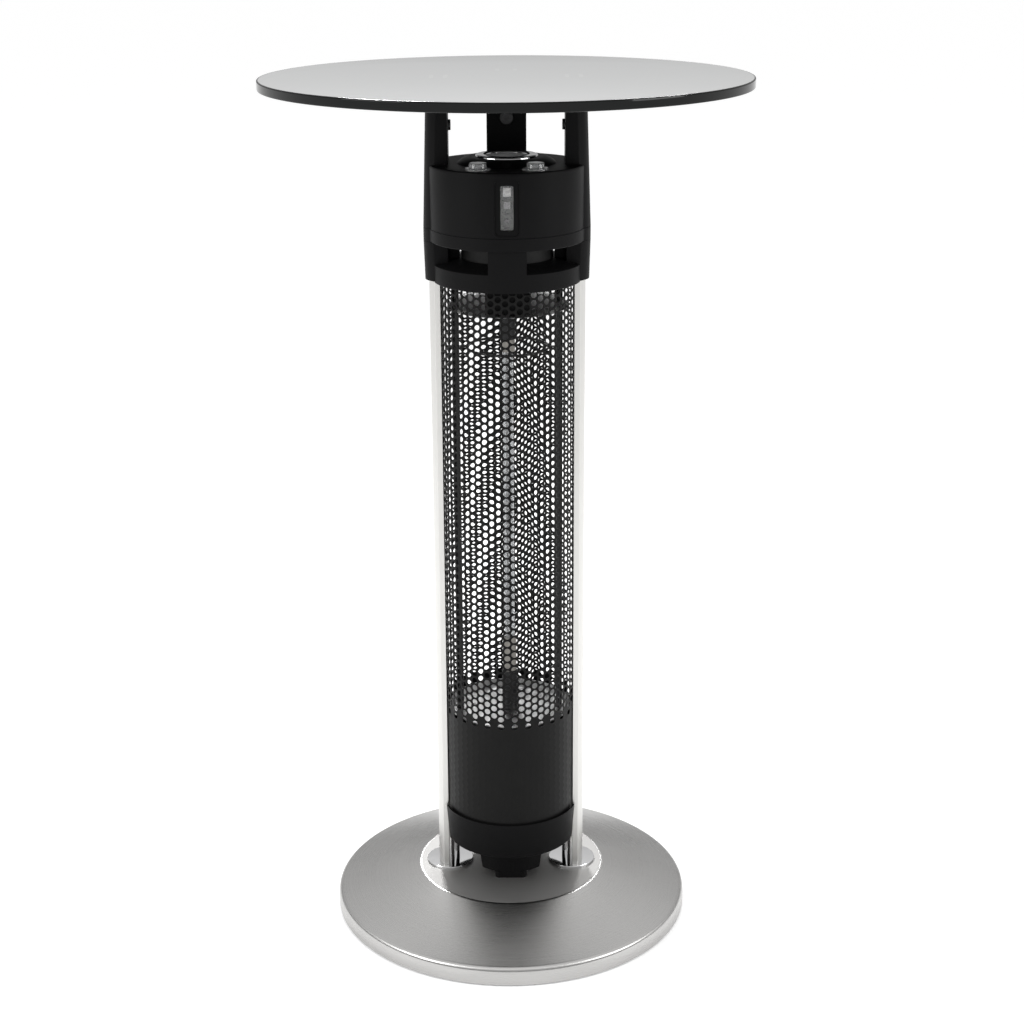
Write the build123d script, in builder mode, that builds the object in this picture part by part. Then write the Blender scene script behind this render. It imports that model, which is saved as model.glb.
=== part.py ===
# Standing electric table heater: a round glass top on three arms, a drum-shaped
# head with the controls, an upright lamp in a perforated guard between two
# extruded posts, and a weighted, spun steel base.
# Origin at the middle of the base, on the floor. +Z up, controls face -Y.
import os
from math import cos, radians, sin, sqrt

from build123d import *

os.makedirs("parts", exist_ok=True)

# ---------------------------------------------------------------- driving sizes
# Base
base_radius = 234.0
base_sheet = 1.2
skirt_top = 18.5
slope_end_radius = 226.5
slope_end_height = 26.3
crown_radius = 123.5
crown_height = 54.0
skirt_bottom = 2.0
foot_height = 3.0
foot_radius = 14.0
foot_circle = 205.0
foot_count = 6
foot_stem_radius = 3.0
foot_stem_top = 12.0
closing_plate_top = 4.5
ballast_radius = 214.0
ballast_top = 21.0

# Flanges, posts and thin tubes, left and right
flange_radius = 31.0
flange_center = 82.5
flange_height = 3.2
post_half_depth = 24.0
post_outer_x = 97.3
post_corner_x = 90.0
post_inner_radius = 86.3
post_top = 858.0
post_core_x = 91.6
post_core_thickness = 4.6
post_core_width = 14.0
channel_x = 90.1
channel_y = 14.0
channel_radius = 2.6
bolt_radius = 2.5
bolt_head_radius = 4.5
bolt_head_height = 4.0
bolt_bite = 25.0
spacer_radius = 6.0
support_tube_x = 75.5
support_tube_radius = 6.0
support_tube_wall = 1.0

# Cup, terminal box and foot under the guard
cup_bottom = 98.7
cup_top = 148.0
cup_bottom_radius = 86.0
cup_top_radius = 89.5
cup_wall = 1.6
cup_floor = 2.2
cup_notch_start = 80.0
cup_notch_half = 27.0
box_half_width = 43.0
box_round = 61.0
box_taper = 5.0
box_bottom = 63.0
box_wall = 2.5
box_screw_offset = 34.0
cable_foot_half = 21.0
cable_foot_front = 55.0
cable_foot_back = 14.0
cable_hole_radius = 7.0
cable_foot_corner = 6.0
strip_y = 12.0
strip_length = 36.0
strip_width = 18.0
strip_height = 14.0
strip_ways = 3
way_pitch = 12.0
way_row_pitch = 10.0
way_radius = 2.5
way_depth = 5.0
tip_switch_x = -26.0
tip_switch_y = -18.0
tip_switch_radius = 8.0
tip_switch_height = 26.0
tip_switch_ease = 2.0

# Guard and heater
guard_radius = 85.5
guard_sheet = 0.8
guard_bottom = 122.0
guard_top = 861.0
seat_wall = 2.0
seat_height = 30.0
lower_reflector_z = 277.0
lower_reflector_radius = 81.0
upper_reflector_z = 830.0
upper_reflector_radius = 75.5
reflector_sheet = 1.0
reflector_rim = 7.0
lamp_radius = 6.8
lamp_wall = 1.2
lamp_cap_radius = 9.0
lower_cap_bottom = 332.0
lower_cap_top = 378.0
upper_cap_bottom = 764.0
upper_cap_top = 780.0
holder_radius = 10.0
filament_radius = 3.6
rod_x = 65.0
rod_radius = 4.0
rod_top = 876.0
hoop_radius = 51.5
hoop_z = 770.0
hoop_wire = 1.6

# Head: lower housing, middle ring, drum
ring_radius = 92.5
ring_wall = 4.0
ring_bottom = 856.0
ring_wall_top = 879.0
deck_inner_radius = 66.0
deck_inner_z = 885.0
deck_thickness = 3.0
stub_bottom = 858.0
seam = 0.4
lower_split = 907.0
upper_split = 923.0
middle_ring_radius = 96.5
middle_floor = 3.0
drum_radius = 96.0
drum_top = 1001.0
drum_wall = 3.0
drum_edge = 3.0
deck_hole_radius = 52.0
front_block_half = 23.2
front_tab_half = 27.0
front_tab_bottom = 828.0
front_tab_out = 79.0
front_tab_in = 76.5
leg_inner_x = 59.0
leg_outer_x = 75.0
leg_half_depth = 12.0
shield_radius = 57.0
boss_circle = 80.0
boss_radius = 5.0
head_screw_radius = 1.7

# Arms and the glass on them
arm_half_width = 25.0
arm_inner = 71.4
arm_round_depth = 14.0
arm_corner = 2.0
arm_reach_bottom = 102.0
arm_reach_drum = 103.4
arm_reach_top = 98.2
arm_top = 1088.0
arm_angles = {"right": 0.0, "back": 90.0, "left": 180.0}
arm_screw_z = 1047.0
arm_screw_radius = 3.0
arm_screw_head_radius = 6.6
arm_screw_head_height = 3.0
arm_socket_width = 4.6
washer_radius = 8.3
washer_thickness = 1.9
recess_radius = 9.2
recess_depth = 1.5
bracket_pocket_inner = 76.3
bracket_pocket_outer = 88.0
bracket_half_width = 14.0
bracket_bottom = 1029.0
bracket_sheet = 3.0
bracket_plate_inner = 72.0
bracket_plate_outer = 97.0
bracket_plate_half = 20.0
pad_width = 5.0
pad_length = 38.0
pad_spread = 22.0
glass_radius = 300.0
glass_thickness = 11.5
glass_top_z = 1105.0
glass_edge = 1.5

# Control dome, speaker, switches, button and window
dome_radius = 61.0
dome_rim_radius = 44.0
dome_rise = 8.2
dome_swell = 1.9
dome_wall = 2.5
dome_hole_radius = 30.0
trim_lip_radius = 24.5
trim_inner = 26.0
trim_outer = 38.5
trim_height = 2.8
trim_lip = 1.2
grille_rise = 1.8
grille_fold = 0.6
grille_sheet = 0.8
cone_edge_radius = 23.5
cone_edge_z = 1003.4
cone_neck_radius = 9.0
cone_neck_z = 994.0
cone_sheet = 0.8
coil_bottom = 981.0
coil_wall = 0.6
coil_gap = 0.5
surround_outer = 27.0
basket_flange_radius = 40.0
basket_neck_z = 987.0
basket_flange = 2.0
basket_depth = 5.0
basket_sheet = 1.5
magnet_plate = 4.0
dust_cap_rise = 2.0
surround_gap = 0.1
surround_rise = 1.2
surround_sheet = 0.6
magnet_radius = 22.0
magnet_bottom = 970.0
switch_x = 34.3
switch_y = -68.0
boot_flange_radius = 15.5
boot_flange_height = 2.8
boot_cap_radius = 11.0
boot_height = 9.0
boot_wall = 1.2
boot_round = 1.8
switch_collar_radius = 9.5
switch_collar_height = 2.5
switch_half_length = 8.2
switch_half_width = 5.8
switch_depth = 18.0
rocker_half_length = 7.0
rocker_half_width = 4.5
rocker_pivot_rise = 1.0
rocker_tilt = 8.0
rocker_pin_radius = 1.2
rocker_pin_half = 5.6
rocker_end_rise = 3.2
rocker_dip_rise = 2.2
rocker_end_low = 1.0
rocker_under = -1.2
rocker_nose_root = 1.2
rocker_nose_tip = 0.8
rocker_nose_top = -2.0
rocker_nose_low = -4.0
pin_gap = 0.07
pocket_half_length = 7.6
pocket_half_width = 4.9
pocket_depth = 5.6
button_radius = 5.7
button_gap = 0.1
button_out = 55.5
button_rise = 4.35
button_tilt = 35.0
button_length = 4.4
button_wall = 1.8
stem_radius = 1.5
stem_length = 4.0
button_edge = 0.6
sealed_switch_width = 7.0
sealed_switch_height = 6.0
sealed_switch_gap = 2.0
sealed_switch_bore = 4.6
window_half_width = 14.6
window_bottom = 925.5
window_top = 993.2
window_corner = 6.0
window_recess = 1.2
window_plate = 2.2
lens_half_width = 7.7
lens_bottom = 933.2
lens_top = 986.0
lens_corner = 2.0
fit_gap = 0.1
display_board_y = -87.0
display_margin = 2.5
receiver_height = 2.4
receiver_ease = 1.6
receiver_z = 944.0
receiver_radius = 3.0
board_sheet = 1.6
board_peg_radius = 3.0
board_z = 912.5
board_length = 96.0
board_width = 56.0
board_corner = 2.0
board_peg_inset = 5.0
capacitor_radius = 6.0
capacitor_height = 20.0
capacitor_places = ((26.0, 12.0), (26.0, -6.0))
block_height = 16.0
block_sizes = {"relay": (-30.0, 8.0, 20.0, 16.0), "transformer": (-2.0, 8.0, 28.0, 24.0)}
chip_height = 2.0
chip_sizes = {"controller": (-12.0, -18.0, 14.0, 14.0), "driver": (8.0, -18.0, 10.0, 6.0)}

post_bottom = crown_height + flange_height
glass_bottom = glass_top_z - glass_thickness
dome_top = drum_top + dome_rise
bracket_top = arm_top + bracket_sheet
pad_height = glass_bottom - bracket_top
sides = {"left": 180.0, "right": 0.0}
switch_places = {"left": -switch_x, "right": switch_x}
channel_places = [(x, y) for x in (-channel_x, channel_x) for y in (-channel_y, channel_y)]


# --------------------------------------------------------------- shared outlines
def ring_section(*points):
    """Half section in the XZ plane, bounded by straight edges through the points."""
    with BuildSketch(Plane.XZ) as face:
        with BuildLine():
            Polyline(*points, close=True)
        make_face()
    return face.sketch


def arm_section(height, reach, angle):
    """D-shaped section of an arm: flat inside, rounded outside."""
    shoulder = reach - arm_round_depth
    with BuildSketch(Plane.XY.offset(height).rotated((0, 0, angle))) as face:
        with BuildLine():
            Polyline(
                (shoulder, arm_half_width),
                (arm_inner, arm_half_width),
                (arm_inner, -arm_half_width),
                (shoulder, -arm_half_width),
            )
            ThreePointArc((shoulder, -arm_half_width), (reach, 0), (shoulder, arm_half_width))
        make_face()
        fillet(face.vertices().sort_by_distance((0, 0))[:2], arm_corner)
    return face.sketch


def arm_length(bottom, top, reach_bottom, reach_top, angle):
    """Solid length of an arm between two heights."""
    with BuildPart() as length:
        loft([arm_section(bottom, reach_bottom, angle), arm_section(top, reach_top, angle)])
    return length.part


def window_outline(half_width, bottom, top, corner):
    """Upright rounded rectangle on the front, in the XZ plane."""
    with BuildSketch(Plane.XZ) as face:
        with Locations((0, (bottom + top) / 2)):
            RectangleRounded(2 * half_width, top - bottom, corner)
    return face.sketch


# ------------------------------------------------------------------------- base
# Spun cover: flat crown, straight slope, rounded shoulder and a short skirt.
with BuildPart() as base_cover:
    with BuildSketch(Plane.XZ):
        with BuildLine():
            slope = Polyline((0, crown_height), (crown_radius, crown_height), (slope_end_radius, slope_end_height))
            TangentArc(slope @ 1, (base_radius, skirt_top), tangent=slope % 1)
            Polyline((base_radius, skirt_top), (base_radius, skirt_bottom), (0, skirt_bottom), (0, crown_height))
        make_face()
    revolve(axis=Axis.Z)
    offset(amount=-base_sheet, openings=base_cover.faces().sort_by(Axis.Z)[0])
    with BuildSketch(Plane.XY.offset(crown_height)):
        with Locations(*channel_places):
            Circle(channel_radius)
        with Locations((0, -(cable_foot_front + cable_foot_back) / 2)):
            Circle(cable_hole_radius)
    extrude(amount=-base_sheet, mode=Mode.SUBTRACT)
base_cover.part.label = "base_cover"
export_step(base_cover.part, "parts/base_cover.step")

# Cast ballast disc, with counterbored holes for the post bolts.
with BuildPart() as ballast_disc:
    with BuildSketch(Plane.XY.offset(closing_plate_top)):
        Circle(ballast_radius)
        Circle(cable_hole_radius, mode=Mode.SUBTRACT)
        with Locations(*channel_places):
            Circle(channel_radius, mode=Mode.SUBTRACT)
    extrude(amount=ballast_top - closing_plate_top)
    with BuildSketch(Plane.XY.offset(closing_plate_top)):
        with Locations(*channel_places):
            Circle(bolt_head_radius + fit_gap)
    extrude(amount=bolt_head_height, mode=Mode.SUBTRACT)
    with BuildSketch(Plane.XY.offset(closing_plate_top)):
        with PolarLocations(foot_circle, foot_count):
            Circle(foot_stem_radius + fit_gap)
    extrude(amount=foot_stem_top - closing_plate_top, mode=Mode.SUBTRACT)
ballast_disc.part.label = "ballast_disc"
export_step(ballast_disc.part, "parts/ballast_disc.step")

# Sheet that closes the base from below.
with BuildPart() as closing_plate:
    with BuildSketch(Plane.XY.offset(foot_height)):
        Circle(base_radius - base_sheet - 1)
        with PolarLocations(foot_circle, foot_count):
            Circle(foot_stem_radius + fit_gap, mode=Mode.SUBTRACT)
    extrude(amount=closing_plate_top - foot_height)
closing_plate.part.label = "closing_plate"
export_step(closing_plate.part, "parts/closing_plate.step")

# Rubber feet with push-in stems.
with BuildPart() as rubber_feet:
    with BuildSketch(Plane.XY):
        with PolarLocations(foot_circle, foot_count):
            Circle(foot_radius)
    extrude(amount=foot_height)
    with BuildSketch(Plane.XY.offset(foot_height)):
        with PolarLocations(foot_circle, foot_count):
            Circle(foot_stem_radius)
    extrude(amount=foot_stem_top - foot_height)
    fillet(rubber_feet.edges().filter_by(GeomType.CIRCLE).group_by(Axis.Z)[0], foot_height / 4)
rubber_feet.part.label = "rubber_feet"
export_step(rubber_feet.part, "parts/rubber_feet.step")

# Tubes that keep the crown of the cover off the ballast, round each post bolt.
with BuildPart() as spacer_tubes:
    with BuildSketch(Plane.XY.offset(ballast_top)):
        with Locations(*channel_places):
            Circle(spacer_radius)
            Circle(channel_radius, mode=Mode.SUBTRACT)
    extrude(amount=crown_height - base_sheet - ballast_top)
spacer_tubes.part.label = "spacer_tubes"
export_step(spacer_tubes.part, "parts/spacer_tubes.step")

# Long bolts from the ballast up into the channels of the posts.
with BuildPart() as post_bolts:
    with BuildSketch(Plane.XY.offset(closing_plate_top)):
        with Locations(*channel_places):
            RegularPolygon(bolt_head_radius, 6)
    extrude(amount=bolt_head_height)
    with BuildSketch(Plane.XY.offset(closing_plate_top)):
        with Locations(*channel_places):
            Circle(bolt_radius)
    extrude(amount=post_bottom + bolt_bite - closing_plate_top)
post_bolts.part.label = "post_bolts"
export_step(post_bolts.part, "parts/post_bolts.step")

# ---------------------------------------------- flanges, posts and support tubes
# Polished round flanges under the posts.
with BuildPart() as post_flanges:
    with BuildSketch(Plane.XY.offset(crown_height)):
        with Locations((-flange_center, 0), (flange_center, 0)):
            Circle(flange_radius)
        with Locations(*channel_places):
            Circle(channel_radius, mode=Mode.SUBTRACT)
    extrude(amount=flange_height)
    rims = post_flanges.edges().filter_by(GeomType.CIRCLE).group_by(Axis.Z)[-1].group_by(SortBy.RADIUS)[-1]
    fillet(rims, flange_height / 3)
post_flanges.part.label = "post_flanges"
export_step(post_flanges.part, "parts/post_flanges.step")

# Extruded aluminium posts: hollow towards the guard, rounded outside, with a
# core and two screw channels along the whole length.
post_edge_x = sqrt(post_inner_radius**2 - post_half_depth**2)
for side, angle in sides.items():
    with BuildPart() as post:
        with BuildSketch(Plane.XY.offset(post_bottom).rotated((0, 0, angle))):
            with BuildLine():
                ThreePointArc((post_edge_x, -post_half_depth), (post_inner_radius, 0), (post_edge_x, post_half_depth))
                Line((post_edge_x, post_half_depth), (post_corner_x, post_half_depth))
                ThreePointArc((post_corner_x, post_half_depth), (post_outer_x, 0), (post_corner_x, -post_half_depth))
                Line((post_corner_x, -post_half_depth), (post_edge_x, -post_half_depth))
            make_face()
            with Locations((post_core_x, 0)):
                Rectangle(post_core_thickness, post_core_width, mode=Mode.SUBTRACT)
            with Locations((channel_x, channel_y), (channel_x, -channel_y)):
                Circle(channel_radius, mode=Mode.SUBTRACT)
        extrude(amount=post_top - post_bottom)
    post.part.label = f"post_{side}"
    export_step(post.part, f"parts/post_{side}.step")

# Thin polished tubes that carry the cup from the flanges.
with BuildPart() as support_tubes:
    with BuildSketch(Plane.XY.offset(post_bottom)):
        with Locations((-support_tube_x, 0), (support_tube_x, 0)):
            Circle(support_tube_radius)
            Circle(support_tube_radius - support_tube_wall, mode=Mode.SUBTRACT)
    extrude(amount=cup_bottom - post_bottom)
support_tubes.part.label = "support_tubes"
export_step(support_tubes.part, "parts/support_tubes.step")

# -------------------------------------------------- cup, terminal box, cable foot
# Moulded cup round the bottom of the guard, notched where the posts pass.
with BuildPart() as bottom_cup:
    floor_top = cup_bottom + cup_floor
    revolve(
        ring_section(
            (0, cup_bottom),
            (cup_bottom_radius - 2, cup_bottom),
            (cup_bottom_radius, cup_bottom + 2),
            (cup_top_radius, cup_top),
            (cup_top_radius - cup_wall, cup_top),
            (cup_bottom_radius - cup_wall, floor_top),
            (0, floor_top),
        ),
        Axis.Z,
    )
    with BuildSketch(Plane.XY.offset(cup_bottom)):
        with Locations((-box_round - cup_notch_start, 0), (box_round + cup_notch_start, 0)):
            Rectangle(2 * box_round, 2 * cup_notch_half)
    extrude(amount=cup_top - cup_bottom, mode=Mode.SUBTRACT)
    with BuildSketch(Plane.XY.offset(cup_bottom)):
        with GridLocations(2 * box_screw_offset, 2 * box_screw_offset, 2, 2):
            Circle(head_screw_radius + fit_gap)
    extrude(amount=cup_floor, mode=Mode.SUBTRACT)
bottom_cup.part.label = "bottom_cup"
export_step(bottom_cup.part, "parts/bottom_cup.step")

# Ring inside the cup that the guard is slipped over.
with BuildPart() as guard_seat:
    seat_bottom = cup_bottom + cup_floor
    seat_radius = guard_radius - guard_sheet - fit_gap
    revolve(
        ring_section(
            (seat_radius - seat_wall, seat_bottom),
            (seat_radius - seat_wall / 2, seat_bottom),
            (seat_radius, guard_bottom - 2 * seat_wall),
            (seat_radius, seat_bottom + seat_height),
            (seat_radius - seat_wall, seat_bottom + seat_height),
        ),
        Axis.Z,
    )
    with BuildSketch(Plane.XY.offset(cup_bottom + cup_floor)):
        with Locations((-box_round - cup_notch_start, 0), (box_round + cup_notch_start, 0)):
            Rectangle(2 * box_round, 2 * cup_notch_half)
    extrude(amount=guard_bottom - cup_bottom - cup_floor, mode=Mode.SUBTRACT)
guard_seat.part.label = "guard_seat"
export_step(guard_seat.part, "parts/guard_seat.step")

# Terminal box with a curved front and back, tapered downwards, hung under the cup.
with BuildPart() as terminal_box:
    for height, inset in ((box_bottom, box_taper), (cup_bottom, 0)):
        with BuildSketch(Plane.XY.offset(height)):
            Circle(box_round - inset)
            Rectangle(2 * (box_half_width - inset), 2 * box_round, mode=Mode.INTERSECT)
    loft()
    for height, inset in ((box_bottom + box_wall, box_taper + box_wall), (cup_bottom, box_wall)):
        with BuildSketch(Plane.XY.offset(height)):
            Circle(box_round - inset)
            Rectangle(2 * (box_half_width - inset), 2 * box_round, mode=Mode.INTERSECT)
    loft(mode=Mode.SUBTRACT)
    with BuildSketch(Plane.XY.offset(box_bottom)):
        with Locations((0, -(cable_foot_front + cable_foot_back) / 2)):
            Circle(cable_hole_radius)
    extrude(amount=box_wall, mode=Mode.SUBTRACT)
    with BuildSketch(Plane.XY.offset(box_bottom + box_wall)):
        with GridLocations(2 * box_screw_offset, 2 * box_screw_offset, 2, 2):
            Circle(boss_radius)
            Circle(head_screw_radius + fit_gap, mode=Mode.SUBTRACT)
    extrude(amount=cup_bottom - box_bottom - box_wall)
terminal_box.part.label = "terminal_box"
export_step(terminal_box.part, "parts/terminal_box.step")

# Cable passage between the terminal box and the crown of the base.
with BuildPart() as cable_foot:
    with BuildSketch(Plane.XY.offset(crown_height)):
        with Locations((0, -(cable_foot_front + cable_foot_back) / 2)):
            RectangleRounded(2 * cable_foot_half, cable_foot_front - cable_foot_back, cable_foot_corner)
            Circle(cable_hole_radius, mode=Mode.SUBTRACT)
    extrude(amount=box_bottom - crown_height)
cable_foot.part.label = "cable_foot"
export_step(cable_foot.part, "parts/cable_foot.step")

# Terminal strip with three ways, and the sealed tip-over switch beside it.
with BuildPart() as terminal_strip:
    with BuildSketch(Plane.XY.offset(box_bottom + box_wall)):
        with Locations((0, strip_y)):
            Rectangle(strip_length, strip_width)
    extrude(amount=strip_height)
    with BuildSketch(Plane.XY.offset(box_bottom + box_wall + strip_height)):
        with Locations((0, strip_y)):
            with GridLocations(way_pitch, way_row_pitch, strip_ways, 2):
                Circle(way_radius)
    extrude(amount=-way_depth, mode=Mode.SUBTRACT)
terminal_strip.part.label = "terminal_strip"
export_step(terminal_strip.part, "parts/terminal_strip.step")

with BuildPart() as tip_switch:
    with BuildSketch(Plane.XY.offset(box_bottom + box_wall)):
        with Locations((tip_switch_x, tip_switch_y)):
            Circle(tip_switch_radius)
    extrude(amount=tip_switch_height)
    fillet(tip_switch.edges().group_by(Axis.Z)[-1], tip_switch_ease)
tip_switch.part.label = "tip_switch"
export_step(tip_switch.part, "parts/tip_switch.step")

# -------------------------------------------------------------- guard and heater
# Rolled sheet guard: plain below, perforated above, all one tube.
with BuildPart() as guard_tube:
    with BuildSketch(Plane.XY.offset(guard_bottom)):
        Circle(guard_radius)
        Circle(guard_radius - guard_sheet, mode=Mode.SUBTRACT)
    extrude(amount=guard_top - guard_bottom)
guard_tube.part.label = "guard_tube"
export_step(guard_tube.part, "parts/guard_tube.step")

# Dished reflectors under and over the lamp.
with BuildPart() as lower_reflector:
    sheet_top = lower_reflector_z + reflector_sheet
    flat_radius = lower_reflector_radius - reflector_rim
    revolve(
        ring_section(
            (0, lower_reflector_z),
            (flat_radius, lower_reflector_z),
            (lower_reflector_radius, lower_reflector_z + reflector_rim),
            (lower_reflector_radius - reflector_sheet, sheet_top + reflector_rim),
            (flat_radius - reflector_sheet / 2, sheet_top),
            (0, sheet_top),
        ),
        Axis.Z,
    )
lower_reflector.part.label = "lower_reflector"
export_step(lower_reflector.part, "parts/lower_reflector.step")

with BuildPart() as upper_reflector:
    sheet_bottom = upper_reflector_z - reflector_sheet
    flat_radius = upper_reflector_radius - reflector_rim
    revolve(
        ring_section(
            (lamp_cap_radius / 2, upper_reflector_z),
            (flat_radius, upper_reflector_z),
            (upper_reflector_radius, upper_reflector_z - reflector_rim),
            (upper_reflector_radius - reflector_sheet, sheet_bottom - reflector_rim),
            (flat_radius - reflector_sheet / 2, sheet_bottom),
            (lamp_cap_radius / 2, sheet_bottom),
        ),
        Axis.Z,
    )
    with BuildSketch(Plane.XY.offset(upper_reflector_z)):
        with Locations((-rod_x, 0), (rod_x, 0)):
            Circle(rod_radius + fit_gap)
    extrude(amount=-reflector_sheet - reflector_rim, mode=Mode.SUBTRACT)
upper_reflector.part.label = "upper_reflector"
export_step(upper_reflector.part, "parts/upper_reflector.step")

# Quartz lamp: tube, heating coil and two end caps, between two holders.
with BuildPart() as lamp_tube:
    with BuildSketch(Plane.XY.offset(lower_cap_top)):
        Circle(lamp_radius)
        Circle(lamp_radius - lamp_wall, mode=Mode.SUBTRACT)
    extrude(amount=upper_cap_bottom - lower_cap_top)
lamp_tube.part.label = "lamp_tube"
export_step(lamp_tube.part, "parts/lamp_tube.step")

with BuildPart() as lamp_coil:
    with BuildSketch(Plane.XY.offset(lower_cap_top)):
        Circle(filament_radius)
        Circle(filament_radius - lamp_wall, mode=Mode.SUBTRACT)
    extrude(amount=upper_cap_bottom - lower_cap_top)
lamp_coil.part.label = "lamp_coil"
export_step(lamp_coil.part, "parts/lamp_coil.step")

with BuildPart() as lamp_caps:
    with BuildSketch(Plane.XY.offset(lower_cap_bottom)):
        Circle(lamp_cap_radius)
    extrude(amount=lower_cap_top - lower_cap_bottom)
    with BuildSketch(Plane.XY.offset(upper_cap_bottom)):
        Circle(lamp_cap_radius)
    extrude(amount=upper_cap_top - upper_cap_bottom)
    fillet(lamp_caps.edges().filter_by(GeomType.CIRCLE), 1)
lamp_caps.part.label = "lamp_caps"
export_step(lamp_caps.part, "parts/lamp_caps.step")

with BuildPart() as lamp_holders:
    with BuildSketch(Plane.XY.offset(lower_reflector_z + reflector_sheet)):
        Circle(holder_radius)
    extrude(amount=lower_cap_bottom - lower_reflector_z - reflector_sheet)
    with BuildSketch(Plane.XY.offset(upper_cap_top)):
        Circle(holder_radius)
    extrude(amount=upper_reflector_z - reflector_sheet - upper_cap_top)
    fillet(lamp_holders.edges().filter_by(GeomType.CIRCLE), 1)
lamp_holders.part.label = "lamp_holders"
export_step(lamp_holders.part, "parts/lamp_holders.step")

# Upright rods that carry the wiring and the upper reflector.
with BuildPart() as wiring_rods:
    with BuildSketch(Plane.XY.offset(lower_reflector_z + reflector_sheet)):
        with Locations((-rod_x, 0), (rod_x, 0)):
            Circle(rod_radius)
            Circle(rod_radius / 2, mode=Mode.SUBTRACT)
    extrude(amount=rod_top - lower_reflector_z - reflector_sheet)
wiring_rods.part.label = "wiring_rods"
export_step(wiring_rods.part, "parts/wiring_rods.step")

# Wire hoop round the top of the lamp, with an eye bar to each rod.
with BuildPart() as lamp_hoop:
    with BuildSketch(Plane.XZ):
        with Locations((hoop_radius, hoop_z)):
            Circle(hoop_wire)
    revolve(axis=Axis.Z)
    bar_length = rod_x - rod_radius - hoop_radius
    for middle in (-1, 1):
        with Locations((middle * (hoop_radius + bar_length / 2), 0, hoop_z)):
            Box(bar_length, 2 * hoop_wire, hoop_wire)
lamp_hoop.part.label = "lamp_hoop"
export_step(lamp_hoop.part, "parts/lamp_hoop.step")

# -------------------------------------------------------------- lower housing
# Open ring with a sloping deck, three column feet over the posts and at the
# back, a front block, a tab inside the guard and two inner legs.
with BuildPart() as lower_housing:
    revolve(
        ring_section(
            (ring_radius - 1, ring_bottom),
            (ring_radius, ring_bottom + 1),
            (ring_radius, ring_wall_top - 1),
            (ring_radius - 1, ring_wall_top),
            (deck_inner_radius, deck_inner_z),
            (0, deck_inner_z),
            (0, deck_inner_z - deck_thickness),
            (deck_inner_radius, deck_inner_z - deck_thickness),
            (ring_radius - ring_wall, ring_wall_top - deck_thickness),
            (ring_radius - ring_wall, ring_bottom),
        ),
        Axis.Z,
    )
    # Notches in the skirt, so that it clears the tops of the posts.
    for side in ("left", "right"):
        notch = arm_length(ring_bottom, stub_bottom, arm_reach_bottom, arm_reach_bottom, arm_angles[side])
        add(notch, mode=Mode.SUBTRACT)
    for angle in arm_angles.values():
        add(arm_length(stub_bottom, lower_split - seam, arm_reach_bottom, arm_reach_drum, angle))
    with BuildSketch(Plane.XY.offset(ring_bottom)):
        Circle(ring_radius)
        with Locations((0, -ring_radius)):
            Rectangle(2 * front_block_half, 2 * (ring_radius - deck_inner_radius), mode=Mode.INTERSECT)
    extrude(amount=lower_split - seam - ring_bottom)
    with BuildSketch(Plane.XY.offset(ring_bottom)):
        Circle(ring_radius - ring_wall)
        with Locations((0, -ring_radius)):
            Rectangle(2 * front_block_half, 2 * (ring_radius - deck_inner_radius), mode=Mode.INTERSECT)
    extrude(amount=ring_wall_top - deck_thickness - ring_bottom, mode=Mode.SUBTRACT)
    with BuildSketch(Plane.XY.offset(front_tab_bottom)):
        with Locations((0, -(front_tab_out + front_tab_in) / 2)):
            Rectangle(2 * front_tab_half, front_tab_out - front_tab_in)
    extrude(amount=ring_wall_top - front_tab_bottom)
    with BuildSketch(Plane.XY.offset(deck_inner_z - deck_thickness)):
        with Locations((-(leg_inner_x + leg_outer_x) / 2, 0), ((leg_inner_x + leg_outer_x) / 2, 0)):
            Rectangle(leg_outer_x - leg_inner_x, 2 * leg_half_depth)
    extrude(amount=lower_split - seam - deck_inner_z + deck_thickness)
    # Room for the top of the guard inside the column feet.
    with BuildSketch(Plane.XY.offset(stub_bottom)):
        Circle(guard_radius + 4 * fit_gap)
        Circle(front_tab_out + seat_wall, mode=Mode.SUBTRACT)
    extrude(amount=guard_top - stub_bottom + fit_gap, mode=Mode.SUBTRACT)
    # Holes and counterbores for the screws into the posts.
    with BuildSketch(Plane.XY.offset(stub_bottom)):
        with Locations(*channel_places):
            Circle(channel_radius)
    extrude(amount=lower_split - stub_bottom, mode=Mode.SUBTRACT)
    with BuildSketch(Plane.XY.offset(stub_bottom + 2 * deck_thickness)):
        with Locations(*channel_places):
            Circle(bolt_head_radius + fit_gap)
    extrude(amount=lower_split - stub_bottom, mode=Mode.SUBTRACT)
lower_housing.part.label = "lower_housing"
export_step(lower_housing.part, "parts/lower_housing.step")

# Screws through the column feet into the post channels.
with BuildPart() as post_screws:
    with BuildSketch(Plane.XY.offset(stub_bottom + 2 * deck_thickness)):
        with Locations(*channel_places):
            Circle(bolt_head_radius)
    extrude(amount=bolt_head_height)
    with BuildSketch(Plane.XY.offset(stub_bottom + 2 * deck_thickness)):
        with Locations(*channel_places):
            Circle(bolt_radius)
    extrude(amount=-bolt_bite)
post_screws.part.label = "post_screws"
export_step(post_screws.part, "parts/post_screws.step")

# Bright drum between the deck and the middle ring, which keeps heat off the electronics.
with BuildPart() as heat_shield:
    with BuildSketch(Plane.XY.offset(deck_inner_z)):
        Circle(shield_radius)
        Circle(shield_radius - reflector_sheet, mode=Mode.SUBTRACT)
    extrude(amount=lower_split - deck_inner_z)
heat_shield.part.label = "heat_shield"
export_step(heat_shield.part, "parts/heat_shield.step")

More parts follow.
